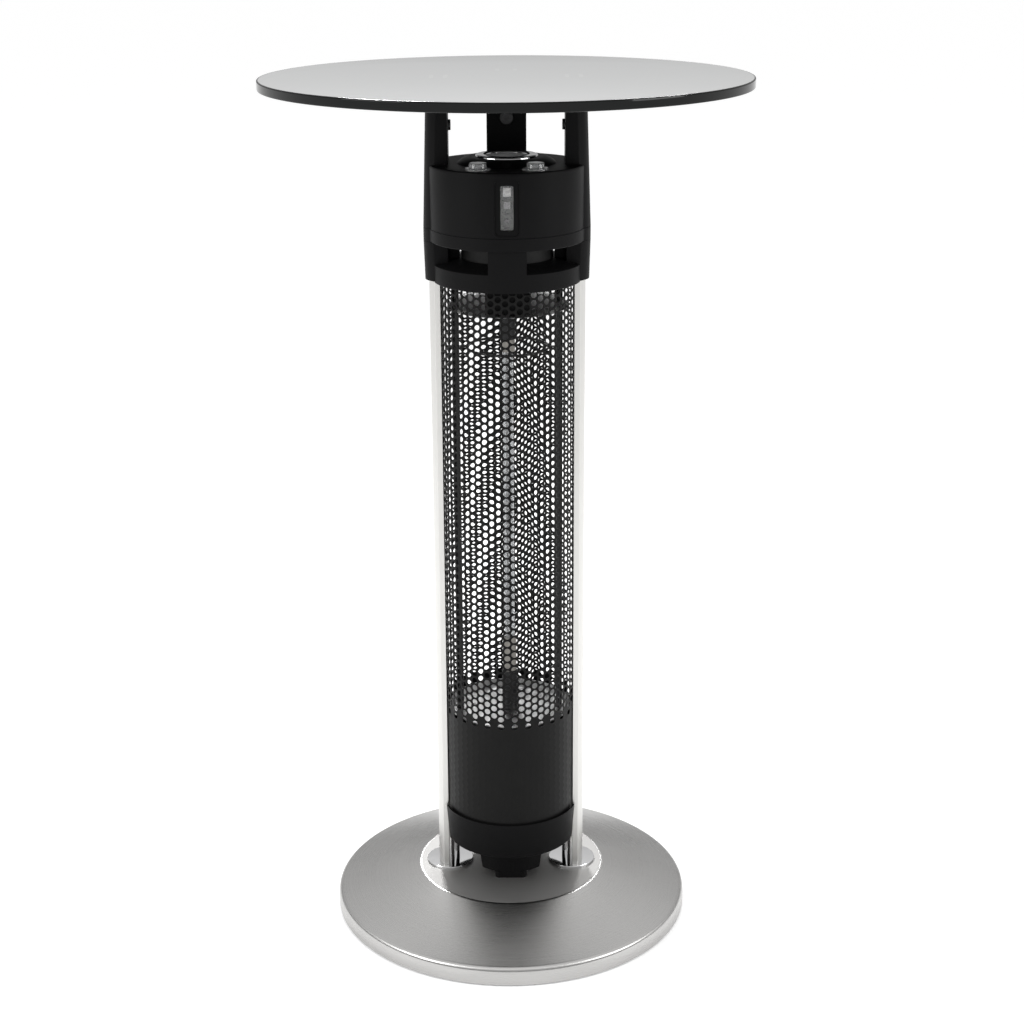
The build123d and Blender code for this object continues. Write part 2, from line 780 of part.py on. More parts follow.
# ---------------------------------------------------------------- middle ring
boss_places = [Location((boss_circle * cos(radians(a)), boss_circle * sin(radians(a)))) for a in (45, 135, 225, 315)]
leg_middle = (leg_inner_x + leg_outer_x) / 2
with BuildPart() as middle_ring:
    revolve(
        ring_section(
            (0, lower_split),
            (middle_ring_radius - 1, lower_split),
            (middle_ring_radius, lower_split + 1),
            (middle_ring_radius, upper_split - seam),
            (middle_ring_radius - drum_wall, upper_split - seam),
            (middle_ring_radius - drum_wall, lower_split + middle_floor),
            (0, lower_split + middle_floor),
        ),
        Axis.Z,
    )
    for angle in arm_angles.values():
        add(arm_length(lower_split, upper_split - seam, arm_reach_drum, arm_reach_drum, angle))
    with BuildSketch(Plane.XY.offset(lower_split + middle_floor)):
        with GridLocations(board_length - 2 * board_peg_inset, board_width - 2 * board_peg_inset, 2, 2):
            Circle(board_peg_radius)
    extrude(amount=board_z - lower_split - middle_floor)
    with BuildSketch(Plane.XY.offset(lower_split)):
        with Locations(*boss_places):
            Circle(head_screw_radius + fit_gap)
        with Locations((-leg_middle, 0), (leg_middle, 0)):
            Circle(head_screw_radius + fit_gap)
    extrude(amount=middle_floor, mode=Mode.SUBTRACT)
middle_ring.part.label = "middle_ring"
export_step(middle_ring.part, "parts/middle_ring.step")

# Small screws: from under the middle ring into the drum, and from the cup into
# the terminal box.
with BuildPart() as housing_screws:
    with BuildSketch(Plane.XY.offset(lower_split)):
        with Locations(*boss_places):
            Circle(2 * head_screw_radius)
    extrude(amount=-head_screw_radius)
    with BuildSketch(Plane.XY.offset(lower_split)):
        with Locations(*boss_places):
            Circle(head_screw_radius)
    extrude(amount=upper_split - lower_split + bolt_bite)
    with BuildSketch(Plane.XY.offset(cup_bottom + cup_floor)):
        with GridLocations(2 * box_screw_offset, 2 * box_screw_offset, 2, 2):
            Circle(2 * head_screw_radius)
    extrude(amount=head_screw_radius)
    with BuildSketch(Plane.XY.offset(cup_bottom + cup_floor)):
        with GridLocations(2 * box_screw_offset, 2 * box_screw_offset, 2, 2):
            Circle(head_screw_radius)
    extrude(amount=-(cup_bottom - box_bottom) / 2)
housing_screws.part.label = "housing_screws"
export_step(housing_screws.part, "parts/housing_screws.step")

# ------------------------------------------------------------ arms and their fixings
def fixing_plane(angle, depth):
    """Plane square to an arm's radius, depth outwards from its inner face, at the screw."""
    turned = Plane.XY.rotated((0, 0, angle))
    return Plane(
        origin=turned.from_local_coords((arm_inner + depth, 0, arm_screw_z)),
        z_dir=turned.from_local_coords((1, 0, 0)),
    )


arm_outlines = {
    name: arm_length(upper_split, arm_top, arm_reach_drum, arm_reach_top, angle) for name, angle in arm_angles.items()
}
for name, angle in arm_angles.items():
    with BuildPart() as arm:
        add(arm_outlines[name])
        pocket_middle = (bracket_pocket_inner + bracket_pocket_outer) / 2
        with BuildSketch(Plane.XY.offset(bracket_bottom - 2 * fit_gap).rotated((0, 0, angle))):
            with Locations((pocket_middle, 0)):
                Rectangle(bracket_pocket_outer - bracket_pocket_inner, 2 * (bracket_half_width + 2 * fit_gap))
        extrude(amount=arm_top - bracket_bottom + 2 * fit_gap, mode=Mode.SUBTRACT)
        with BuildSketch(fixing_plane(angle, 0)):
            Circle(recess_radius)
        extrude(amount=recess_depth, mode=Mode.SUBTRACT)
        with BuildSketch(fixing_plane(angle, 0)):
            Circle(arm_screw_radius + fit_gap)
        extrude(amount=bracket_pocket_inner - arm_inner, mode=Mode.SUBTRACT)
    arm.part.label = f"arm_{name}"
    export_step(arm.part, f"parts/arm_{name}.step")


washer_out = recess_depth - washer_thickness
with BuildPart() as arm_washers:
    for angle in arm_angles.values():
        with BuildSketch(fixing_plane(angle, washer_out)):
            Circle(washer_radius)
            Circle(arm_screw_radius + fit_gap, mode=Mode.SUBTRACT)
        extrude(amount=washer_thickness)
arm_washers.part.label = "arm_washers"
export_step(arm_washers.part, "parts/arm_washers.step")

with BuildPart() as arm_screws:
    for angle in arm_angles.values():
        with BuildSketch(fixing_plane(angle, washer_out - arm_screw_head_height)):
            Circle(arm_screw_head_radius)
            RegularPolygon(arm_socket_width / 2, 6, mode=Mode.SUBTRACT)
        extrude(amount=arm_screw_head_height)
        with BuildSketch(fixing_plane(angle, washer_out - 1)):
            Circle(arm_screw_radius)
        extrude(amount=bracket_pocket_outer - arm_inner - 1)
arm_screws.part.label = "arm_screws"
export_step(arm_screws.part, "parts/arm_screws.step")

# Folded steel brackets: a leg in the arm's pocket and a plate on its top.
with BuildPart() as glass_brackets:
    for angle in arm_angles.values():
        with BuildSketch(Plane.XY.offset(bracket_bottom).rotated((0, 0, angle))):
            with Locations((bracket_pocket_inner + bracket_sheet / 2, 0)):
                Rectangle(bracket_sheet, 2 * bracket_half_width)
        extrude(amount=arm_top - bracket_bottom)
        with BuildSketch(Plane.XY.offset(arm_top).rotated((0, 0, angle))):
            with Locations(((bracket_plate_inner + bracket_plate_outer) / 2, 0)):
                Rectangle(bracket_plate_outer - bracket_plate_inner, 2 * bracket_plate_half)
        extrude(amount=bracket_sheet)
        with BuildSketch(fixing_plane(angle, 0)):
            Circle(arm_screw_radius + fit_gap)
        extrude(amount=bracket_pocket_outer - arm_inner, mode=Mode.SUBTRACT)
glass_brackets.part.label = "glass_brackets"
export_step(glass_brackets.part, "parts/glass_brackets.step")

# Pairs of silicone strips under the glass, along Y on the side brackets and
# across the plate at the back.
with BuildPart() as glass_pads:
    plate_middle = (bracket_plate_inner + bracket_plate_outer) / 2
    plate_length = bracket_plate_outer - bracket_plate_inner
    for x in (-plate_middle, plate_middle):
        for step in (-pad_spread / 2 + pad_width / 2, pad_spread / 2 - pad_width / 2):
            with Locations((x + step, 0, bracket_top + pad_height / 2)):
                Box(pad_width, pad_length, pad_height)
    for step in (-pad_spread / 2, pad_spread / 2):
        with Locations((step, plate_middle, bracket_top + pad_height / 2)):
            Box(pad_width, plate_length, pad_height)
glass_pads.part.label = "glass_pads"
export_step(glass_pads.part, "parts/glass_pads.step")

# Round tempered glass with a polished edge.
with BuildPart() as glass_top:
    with BuildSketch(Plane.XY.offset(glass_bottom)):
        Circle(glass_radius)
    extrude(amount=glass_thickness)
    fillet(glass_top.edges().filter_by(GeomType.CIRCLE), glass_edge)
glass_top.part.label = "glass_top"
export_step(glass_top.part, "parts/glass_top.step")

# ----------------------------------------------------------------------- drum
button_axis = Plane(
    origin=(0, -button_out, drum_top + button_rise),
    x_dir=(1, 0, 0),
    z_dir=(0, -sin(radians(button_tilt)), cos(radians(button_tilt))),
)
with BuildPart() as drum_housing:
    revolve(
        ring_section(
            (drum_radius, upper_split),
            (drum_radius, drum_top - drum_edge),
            (drum_radius - drum_edge / 3, drum_top - drum_edge / 3),
            (drum_radius - drum_edge, drum_top),
            (deck_hole_radius, drum_top),
            (deck_hole_radius, drum_top - drum_wall),
            (drum_radius - drum_wall, drum_top - drum_wall),
            (drum_radius - drum_wall, upper_split),
        ),
        Axis.Z,
    )
    with BuildSketch(Plane.XY.offset(upper_split)):
        with Locations(*boss_places):
            Circle(boss_radius)
    extrude(amount=drum_top - drum_wall - upper_split)
    with BuildSketch(Plane.XY.offset(upper_split)):
        with Locations(*boss_places):
            Circle(head_screw_radius + fit_gap)
    extrude(amount=bolt_bite + fit_gap, mode=Mode.SUBTRACT)
    for outline in arm_outlines.values():
        add(outline, mode=Mode.SUBTRACT)
    extrude(
        window_outline(window_half_width + fit_gap, window_bottom - fit_gap, window_top + fit_gap, window_corner),
        amount=drum_radius,
        mode=Mode.SUBTRACT,
    )
    with BuildSketch(Plane.XY.offset(drum_top)):
        with Locations((-switch_x, switch_y), (switch_x, switch_y)):
            Rectangle(2 * (switch_half_length + fit_gap), 2 * (switch_half_width + fit_gap))
    extrude(amount=-drum_wall, mode=Mode.SUBTRACT)
    with BuildSketch(button_axis):
        Circle(button_radius + button_wall + fit_gap)
    extrude(amount=-4 * button_length, mode=Mode.SUBTRACT)
drum_housing.part.label = "drum_housing"
export_step(drum_housing.part, "parts/drum_housing.step")

# -------------------------------------------------------------- front window
wall_outer = drum_radius - window_recess
with BuildPart() as window_frame:
    revolve(
        ring_section(
            (wall_outer - window_plate, window_bottom),
            (wall_outer, window_bottom),
            (wall_outer, window_top),
            (wall_outer - window_plate, window_top),
        ),
        Axis.Z,
    )
    extrude(
        window_outline(window_half_width, window_bottom, window_top, window_corner),
        amount=drum_radius,
        mode=Mode.INTERSECT,
    )
    extrude(
        window_outline(lens_half_width + fit_gap, lens_bottom - fit_gap, lens_top + fit_gap, lens_corner),
        amount=drum_radius,
        mode=Mode.SUBTRACT,
    )
window_frame.part.label = "window_frame"
export_step(window_frame.part, "parts/window_frame.step")

with BuildPart() as window_lens:
    revolve(
        ring_section(
            (wall_outer - window_plate, lens_bottom),
            (wall_outer - fit_gap, lens_bottom),
            (wall_outer - fit_gap, lens_top),
            (wall_outer - window_plate, lens_top),
        ),
        Axis.Z,
    )
    extrude(
        window_outline(lens_half_width, lens_bottom, lens_top, lens_corner),
        amount=drum_radius,
        mode=Mode.INTERSECT,
    )
window_lens.part.label = "window_lens"
export_step(window_lens.part, "parts/window_lens.step")

# Small upright board behind the lens, with its parts on the front.
board_front = display_board_y - board_sheet
display_parts = {
    "crystal can": (lens_top - 8, 9.0, 10.0, 3.0),
    "indicator": (lens_top - 24, 8.0, 8.0, 1.2),
    "upper chip": (lens_top - 34, 4.0, 2.4, 1.2),
    "lower chip": (lens_bottom + 2.5, 4.0, 2.4, 1.2),
}
with BuildPart() as display_board:
    with Locations((0, display_board_y - board_sheet / 2, (lens_bottom + lens_top) / 2)):
        Box(2 * (lens_half_width + display_margin), board_sheet, lens_top - lens_bottom + 2 * display_margin)
    for z, width, height, depth in display_parts.values():
        with Locations((0, board_front - depth / 2, z)):
            Box(width, depth, height)
display_board.part.label = "display_board"
export_step(display_board.part, "parts/display_board.step")

with BuildPart() as receiver_dome:
    with BuildSketch(Plane.XZ.offset(-board_front)):
        with Locations((0, receiver_z)):
            Circle(receiver_radius)
    extrude(amount=receiver_height)
    fillet(receiver_dome.edges().group_by(Axis.Y)[0], receiver_ease)
receiver_dome.part.label = "receiver_dome"
export_step(receiver_dome.part, "parts/receiver_dome.step")

# ---------------------------------------------------------------- control board
# Circuit board on the moulded pegs of the middle ring, with its relay,
# transformer, capacitors and chips.
with BuildPart() as control_board:
    with BuildSketch(Plane.XY.offset(board_z)):
        RectangleRounded(board_length, board_width, board_corner)
    extrude(amount=board_sheet)
    for sizes, height in ((block_sizes, block_height), (chip_sizes, chip_height)):
        with BuildSketch(Plane.XY.offset(board_z + board_sheet)):
            for x, y, length, width in sizes.values():
                with Locations((x, y)):
                    Rectangle(length, width)
        extrude(amount=height)
    with BuildSketch(Plane.XY.offset(board_z + board_sheet)):
        with Locations(*capacitor_places):
            Circle(capacitor_radius)
    extrude(amount=capacitor_height)
control_board.part.label = "control_board"
export_step(control_board.part, "parts/control_board.step")

# --------------------------------------------------- control dome and its button
dome_chord = sqrt((dome_radius - dome_rim_radius) ** 2 + dome_rise**2)
dome_swell_point = (
    (dome_radius + dome_rim_radius) / 2 + dome_swell * dome_rise / dome_chord,
    drum_top + dome_rise / 2 + dome_swell * (dome_radius - dome_rim_radius) / dome_chord,
)
with BuildPart() as control_dome:
    with BuildSketch(Plane.XZ):
        with BuildLine():
            ThreePointArc((dome_radius, drum_top), dome_swell_point, (dome_rim_radius, dome_top))
            Polyline(
                (dome_rim_radius, dome_top),
                (dome_hole_radius, dome_top),
                (dome_hole_radius, dome_top - dome_wall),
                (dome_rim_radius - 1, dome_top - dome_wall),
                (dome_radius - 1.4 * dome_wall, drum_top),
                (dome_radius, drum_top),
            )
        make_face()
    revolve(axis=Axis.Z)
    with BuildSketch(button_axis.offset(-button_length)):
        Circle(button_radius + button_wall)
    extrude(amount=button_length - 1)
    with BuildSketch(button_axis.offset(-2 * button_length)):
        Circle(button_radius + button_gap)
    extrude(amount=4 * button_length, mode=Mode.SUBTRACT)
    with BuildSketch(Plane.XY.offset(drum_top)):
        with Locations((-switch_x, switch_y), (switch_x, switch_y)):
            Circle(boot_flange_radius + 4 * fit_gap)
    extrude(amount=dome_rise, mode=Mode.SUBTRACT)
    with BuildSketch(Plane.XY.offset(drum_top)):
        Circle(2 * dome_radius)
    extrude(amount=-3 * button_length, mode=Mode.SUBTRACT)
control_dome.part.label = "control_dome"
export_step(control_dome.part, "parts/control_dome.step")

with BuildPart() as push_button:
    with BuildSketch(button_axis.offset(-button_length)):
        Circle(button_radius)
    extrude(amount=button_length)
    fillet(push_button.edges().filter_by(GeomType.CIRCLE).sort_by(Axis.Z)[-1], button_edge)
    with BuildSketch(button_axis.offset(-button_length)):
        Circle(stem_radius)
    extrude(amount=-stem_length)
push_button.part.label = "push_button"
export_step(push_button.part, "parts/push_button.step")

# Sealed switch under the button, with a hole for the button's stem.
with BuildPart() as button_switch:
    with BuildSketch(button_axis.offset(-button_length - sealed_switch_gap)):
        Rectangle(sealed_switch_width, sealed_switch_width)
    extrude(amount=-sealed_switch_height)
    with BuildSketch(button_axis.offset(-button_length - sealed_switch_gap)):
        Circle(stem_radius + button_gap)
    extrude(amount=-sealed_switch_bore, mode=Mode.SUBTRACT)
button_switch.part.label = "button_switch"
export_step(button_switch.part, "parts/button_switch.step")

# --------------------------------------------------------------------- speaker
with BuildPart() as speaker_trim:
    with BuildSketch(Plane.XZ):
        with Locations(((trim_inner + trim_outer) / 2, dome_top)):
            Ellipse((trim_outer - trim_inner) / 2, trim_height)
            Rectangle(
                trim_outer - trim_inner,
                trim_height,
                align=(Align.CENTER, Align.MIN),
                mode=Mode.INTERSECT,
            )
    revolve(axis=Axis.Z)
    revolve(
        ring_section(
            (trim_lip_radius, dome_top - trim_lip),
            (dome_hole_radius - fit_gap, dome_top - trim_lip),
            (dome_hole_radius - fit_gap, dome_top),
            (trim_lip_radius, dome_top),
        ),
        Axis.Z,
    )
speaker_trim.part.label = "speaker_trim"
export_step(speaker_trim.part, "parts/speaker_trim.step")

with BuildPart() as speaker_grille:
    grille_radius = trim_inner - fit_gap
    fold_z = dome_top + (1 - grille_fold**2) * grille_rise
    revolve(
        ring_section(
            (0, dome_top + grille_rise),
            (grille_fold * grille_radius, fold_z),
            (grille_radius, dome_top),
            (grille_radius, dome_top + grille_sheet),
            (grille_fold * grille_radius, fold_z + grille_sheet),
            (0, dome_top + grille_rise + grille_sheet),
        ),
        Axis.Z,
    )
speaker_grille.part.label = "speaker_grille"
export_step(speaker_grille.part, "parts/speaker_grille.step")

basket_top = dome_top - dome_wall
with BuildPart() as speaker_basket:
    revolve(
        ring_section(
            (surround_outer, basket_top - basket_flange),
            (surround_outer, basket_top),
            (basket_flange_radius, basket_top),
            (basket_flange_radius, basket_top - basket_flange),
            (surround_outer + basket_sheet, basket_top - basket_flange),
            (surround_outer + basket_sheet, basket_top - basket_depth),
            (magnet_radius, basket_neck_z),
            (magnet_radius, basket_neck_z - basket_sheet),
            (cone_neck_radius + 1, basket_neck_z - basket_sheet),
            (cone_neck_radius + 1, basket_neck_z),
            (magnet_radius - basket_sheet, basket_neck_z),
            (surround_outer, basket_top - basket_depth),
        ),
        Axis.Z,
    )
speaker_basket.part.label = "speaker_basket"
export_step(speaker_basket.part, "parts/speaker_basket.step")

with BuildPart() as speaker_magnet:
    magnet_top = basket_neck_z - basket_sheet
    pole_radius = cone_neck_radius - coil_wall - 2 * coil_gap
    revolve(
        ring_section(
            (0, magnet_bottom),
            (magnet_radius, magnet_bottom),
            (magnet_radius, magnet_top),
            (cone_neck_radius + coil_gap, magnet_top),
            (cone_neck_radius + coil_gap, magnet_bottom + magnet_plate),
            (pole_radius, magnet_bottom + magnet_plate),
            (pole_radius, magnet_top),
            (0, magnet_top),
        ),
        Axis.Z,
    )
speaker_magnet.part.label = "speaker_magnet"
export_step(speaker_magnet.part, "parts/speaker_magnet.step")

# Paper cone with its dust cap and voice coil, which moves as one.
with BuildPart() as speaker_cone:
    revolve(
        ring_section(
            (cone_edge_radius, cone_edge_z),
            (cone_edge_radius, cone_edge_z - cone_sheet),
            (cone_neck_radius, cone_neck_z - cone_sheet),
            (cone_neck_radius, coil_bottom),
            (cone_neck_radius - coil_wall, coil_bottom),
            (cone_neck_radius - coil_wall, cone_neck_z),
            (0, cone_neck_z + dust_cap_rise),
            (0, cone_neck_z + dust_cap_rise + cone_sheet),
            (cone_neck_radius, cone_neck_z + cone_sheet),
        ),
        Axis.Z,
    )
speaker_cone.part.label = "speaker_cone"
export_step(speaker_cone.part, "parts/speaker_cone.step")

# Rubber half roll between the cone and the basket.
with BuildPart() as cone_surround:
    revolve(
        ring_section(
            (cone_edge_radius + surround_gap, cone_edge_z - cone_sheet),
            (cone_edge_radius + surround_gap, cone_edge_z),
            (cone_edge_radius + surround_rise, cone_edge_z + surround_rise),
            (surround_outer - surround_rise, cone_edge_z + surround_rise),
            (surround_outer - surround_gap, cone_edge_z),
            (surround_outer - surround_gap, cone_edge_z - cone_sheet),
            (surround_outer - surround_gap - basket_sheet, cone_edge_z + surround_sheet),
            (cone_edge_radius + surround_gap + basket_sheet, cone_edge_z + surround_sheet),
        ),
        Axis.Z,
    )
cone_surround.part.label = "cone_surround"
export_step(cone_surround.part, "parts/cone_surround.step")

# -------------------------------------------------- rocker switches and boots
rocker_pivot_z = drum_top + rocker_pivot_rise
for side, x in switch_places.items():
    with BuildPart() as switch_body:
        with BuildSketch(Plane.XY.offset(drum_top)):
            with Locations((x, switch_y)):
                Circle(switch_collar_radius)
        extrude(amount=switch_collar_height)
        with BuildSketch(Plane.XY.offset(drum_top)):
            with Locations((x, switch_y)):
                Rectangle(2 * switch_half_length, 2 * switch_half_width)
        extrude(amount=-switch_depth)
        with BuildSketch(Plane.XY.offset(rocker_pivot_z - pocket_depth)):
            with Locations((x, switch_y)):
                Rectangle(2 * pocket_half_length, 2 * pocket_half_width)
        extrude(amount=2 * pocket_depth, mode=Mode.SUBTRACT)
        with BuildSketch(Plane.XZ.offset(-switch_y - rocker_pin_half - fit_gap)):
            with Locations((x, rocker_pivot_z)):
                Circle(rocker_pin_radius + pin_gap)
        extrude(amount=2 * (rocker_pin_half + fit_gap), mode=Mode.SUBTRACT)
    switch_body.part.label = f"switch_body_{side}"
    export_step(switch_body.part, f"parts/switch_body_{side}.step")

    # Rocker at its off position, turned about its pin.
    lean = radians(rocker_tilt)
    rocker_plane = Plane(
        origin=(x, switch_y, rocker_pivot_z),
        x_dir=(cos(lean), 0, sin(lean)),
        z_dir=(0, -1, 0),
    )
    with BuildPart() as rocker:
        with BuildSketch(rocker_plane.offset(-rocker_half_width)):
            with BuildLine():
                Polyline(
                    (-rocker_half_length, rocker_end_rise),
                    (0, rocker_dip_rise),
                    (rocker_half_length, rocker_end_rise),
                    (rocker_half_length, rocker_end_low),
                    (rocker_half_length - 1, rocker_under),
                    (rocker_nose_root, rocker_nose_top),
                    (rocker_nose_tip, rocker_nose_low),
                    (-rocker_nose_tip, rocker_nose_low),
                    (-rocker_nose_root, rocker_nose_top),
                    (1 - rocker_half_length, rocker_under),
                    (-rocker_half_length, rocker_end_low),
                    close=True,
                )
            make_face()
        extrude(amount=2 * rocker_half_width)
        with BuildSketch(rocker_plane.offset(-rocker_pin_half)):
            Circle(rocker_pin_radius)
        extrude(amount=2 * rocker_pin_half)
    rocker.part.label = f"rocker_{side}"
    export_step(rocker.part, f"parts/rocker_{side}.step")

    # Clear silicone boot over the switch.
    with BuildPart() as boot:
        with BuildSketch(Plane.XY.offset(drum_top)):
            with Locations((x, switch_y)):
                Circle(boot_flange_radius)
        extrude(amount=boot_flange_height)
        fillet(boot.edges().group_by(Axis.Z)[-1], boot_wall / 2)
        with BuildSketch(Plane.XY.offset(drum_top)):
            with Locations((x, switch_y)):
                Circle(boot_cap_radius)
        extrude(amount=boot_height)
        fillet(boot.edges().group_by(Axis.Z)[-1], boot_round)
        with BuildSketch(Plane.XY.offset(drum_top)):
            with Locations((x, switch_y)):
                Circle(boot_cap_radius - boot_wall)
        extrude(amount=boot_height - boot_wall, mode=Mode.SUBTRACT)
    boot.part.label = f"switch_boot_{side}"
    export_step(boot.part, f"parts/switch_boot_{side}.step")
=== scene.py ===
from math import cos, hypot, pi, radians, sin, sqrt

import bmesh
import bpy
from mathutils import Matrix, Vector


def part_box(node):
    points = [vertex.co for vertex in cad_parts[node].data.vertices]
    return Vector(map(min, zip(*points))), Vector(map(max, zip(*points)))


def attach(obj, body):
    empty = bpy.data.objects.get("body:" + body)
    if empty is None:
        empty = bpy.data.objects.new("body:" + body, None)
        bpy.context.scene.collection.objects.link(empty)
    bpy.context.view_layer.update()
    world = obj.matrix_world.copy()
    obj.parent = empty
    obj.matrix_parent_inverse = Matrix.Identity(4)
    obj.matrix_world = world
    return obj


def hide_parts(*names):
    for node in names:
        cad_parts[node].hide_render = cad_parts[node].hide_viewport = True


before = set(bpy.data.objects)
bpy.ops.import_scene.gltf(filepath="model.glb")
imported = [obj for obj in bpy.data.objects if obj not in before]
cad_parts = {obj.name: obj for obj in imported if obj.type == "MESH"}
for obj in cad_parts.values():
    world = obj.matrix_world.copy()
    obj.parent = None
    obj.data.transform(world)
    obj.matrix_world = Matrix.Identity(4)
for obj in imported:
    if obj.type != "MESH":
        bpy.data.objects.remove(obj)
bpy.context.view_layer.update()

# ----------------------------------------------------------------- base cover
# One stainless sheet, spun over a former and brushed: a flat crown, a straight
# slope, a rolled shoulder and a short skirt. The crown is brushed in straight
# lines after the slope was brushed on the lathe.
mm = 0.001
base_low, base_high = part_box("base_cover")
base_radius = base_high.x
crown_height = base_high.z
crown_radius = 123.5 * mm
base_sheet = 1.2 * mm
shoulder_height = 24.3 * mm
shoulder_ease = 6.6 * mm
steel_colour = (0.482, 0.477, 0.469, 1.0)
steel_roughness = 0.27
sharp_angle = radians(35)


class Value:
    """An output of a node. Arithmetic on it adds Math nodes to its tree."""

    def __init__(self, tree, socket):
        self.tree = tree
        self.socket = socket

    def __add__(self, other):
        return self.tree.maths("ADD", self, other)

    def __radd__(self, other):
        return self.tree.maths("ADD", other, self)

    def __sub__(self, other):
        return self.tree.maths("SUBTRACT", self, other)

    def __rsub__(self, other):
        return self.tree.maths("SUBTRACT", other, self)

    def __mul__(self, other):
        return self.tree.maths("MULTIPLY", self, other)

    def __rmul__(self, other):
        return self.tree.maths("MULTIPLY", other, self)

    def __truediv__(self, other):
        return self.tree.maths("DIVIDE", self, other)

    def __mod__(self, other):
        return self.tree.maths("MODULO", self, other)

    def __gt__(self, other):
        return self.tree.maths("GREATER_THAN", self, other)

    def __lt__(self, other):
        return self.tree.maths("LESS_THAN", self, other)


class Tree:
    """A tree of shader or geometry nodes, filled one node at a time."""

    def __init__(self, nodes):
        self.group = nodes

    def node(self, kind, settings=None, sockets=None, output=0):
        """A new node: its settings first, then its sockets' values or links."""
        new = self.group.nodes.new(kind)
        for name, setting in (settings or {}).items():
            setattr(new, name, setting)
        self.fill(new, sockets or {})
        return Value(self, new.outputs[output])

    def fill(self, node, sockets):
        for key, value in sockets.items():
            if isinstance(value, Value):
                self.group.links.new(value.socket, node.inputs[key])
            else:
                node.inputs[key].default_value = value

    def maths(self, operation, *terms):
        return self.node("ShaderNodeMath", {"operation": operation}, dict(enumerate(terms)))

    def parts(self, vector):
        """The three numbers of a vector."""
        split = self.node("ShaderNodeSeparateXYZ", None, {0: vector})
        return [Value(self, output) for output in split.socket.node.outputs]

    def join(self, x, y, z):
        return self.node("ShaderNodeCombineXYZ", None, {0: x, 1: y, 2: z})


class Finish(Tree):
    """A material with one Principled shader. fixed holds the values that are the same all over."""

    def __init__(self, name, colour, roughness, fixed=None):
        self.material = bpy.data.materials.new(name)
        self.material.use_nodes = True
        super().__init__(self.material.node_tree)
        self.shader = self.group.nodes["Principled BSDF"]
        self.place = self.node("ShaderNodeTexCoord", output="Object")
        self.fill(self.shader, {"Base Color": colour, "Roughness": roughness, **(fixed or {})})

    def noise(self, size, detail=2.0, stretch=(1.0, 1.0, 1.0), place=None):
        """Noise from 0 to 1 with grains of about that size, in metres, drawn out along an axis by stretch."""
        scale = [1.0 / (size * s) for s in stretch]
        mapping = self.node("ShaderNodeMapping", None, {"Vector": place or self.place, "Scale": scale})
        return self.node("ShaderNodeTexNoise", None, {"Vector": mapping, "Scale": 1.0, "Detail": detail})

    def mix(self, factor, first, second):
        """Blend of two colours."""
        return self.node(
            "ShaderNodeMix",
            {"data_type": "RGBA", "clamp_factor": True},
            {"Factor": factor, 6: first, 7: second},
            output=2,
        )

    def relief(self, height, depth, strength=1.0):
        """Bump of a height field, in metres of depth."""
        bump = self.node("ShaderNodeBump", None, {"Height": height, "Distance": depth, "Strength": strength})
        self.fill(self.shader, {"Normal": bump})

    def vary(self, noise, colours, roughness):
        """Lets a noise move the colour and the roughness between two values each."""
        spread = roughness[1] - roughness[0]
        self.fill(
            self.shader,
            {"Base Color": self.mix(noise, *colours), "Roughness": noise * spread + roughness[0]},
        )


def shade(colour, amount):
    """The same colour, lighter or darker."""
    return (*[min(1.0, channel * amount) for channel in colour[:3]], 1.0)


def eased(outline, steps=6):
    """Corners (x, y, ease) as a list of points, each corner rounded over its ease."""
    points = []
    for i, (x, y, ease) in enumerate(outline):
        corner = Vector((x, y))
        if ease == 0:
            points.append(corner)
            continue
        before = outline[i - 1]
        start = corner.lerp(Vector(before[:2]), ease / hypot(x - before[0], y - before[1]))
        after = outline[(i + 1) % len(outline)]
        end = corner.lerp(Vector(after[:2]), ease / hypot(x - after[0], y - after[1]))
        for step in range(steps + 1):
            t = step / steps
            points.append(start.lerp(corner, t).lerp(corner.lerp(end, t), t))
    return points


def made(name, shape, *finishes):
    """The finished mesh as an object at the origin, smooth but for its sharp edges."""
    mesh = bpy.data.meshes.new(name)
    shape.to_mesh(mesh)
    shape.free()
    mesh.shade_smooth()
    mesh.set_sharp_from_angle(angle=sharp_angle)
    for finish in finishes:
        mesh.materials.append(finish.material)
    piece = bpy.data.objects.new(name, mesh)
    bpy.context.scene.collection.objects.link(piece)
    return piece


def lathed(outline, centre=(0.0, 0.0), turns=128, shape=None):
    """A closed outline of (radius, height) turned about an upright axis."""
    shape = shape or bmesh.new()
    rings = []
    for step in range(turns):
        across, along = cos(2 * pi * step / turns), sin(2 * pi * step / turns)
        rings.append(
            [shape.verts.new((centre[0] + r * across, centre[1] + r * along, z)) for r, z in outline]
        )
    for ring, following in zip(rings, rings[1:] + rings[:1]):
        for i in range(len(outline)):
            if outline[i][0] > 0 or outline[i - 1][0] > 0:
                shape.faces.new((ring[i], following[i], following[i - 1], ring[i - 1]))
    bmesh.ops.remove_doubles(shape, verts=shape.verts, dist=1e-7)
    bmesh.ops.recalc_face_normals(shape, faces=shape.faces)
    return shape


def stands_for(piece, body, slot, *nodes):
    """piece moves with that body and is shown in place of these CAD nodes."""
    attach(piece, body)
    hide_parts(*nodes)


def keep(finish, *nodes):
    """CAD pieces that are shown as they are, in that finish."""
    for node in nodes:
        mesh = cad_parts[node].data
        mesh.materials.clear()
        mesh.materials.append(finish.material)


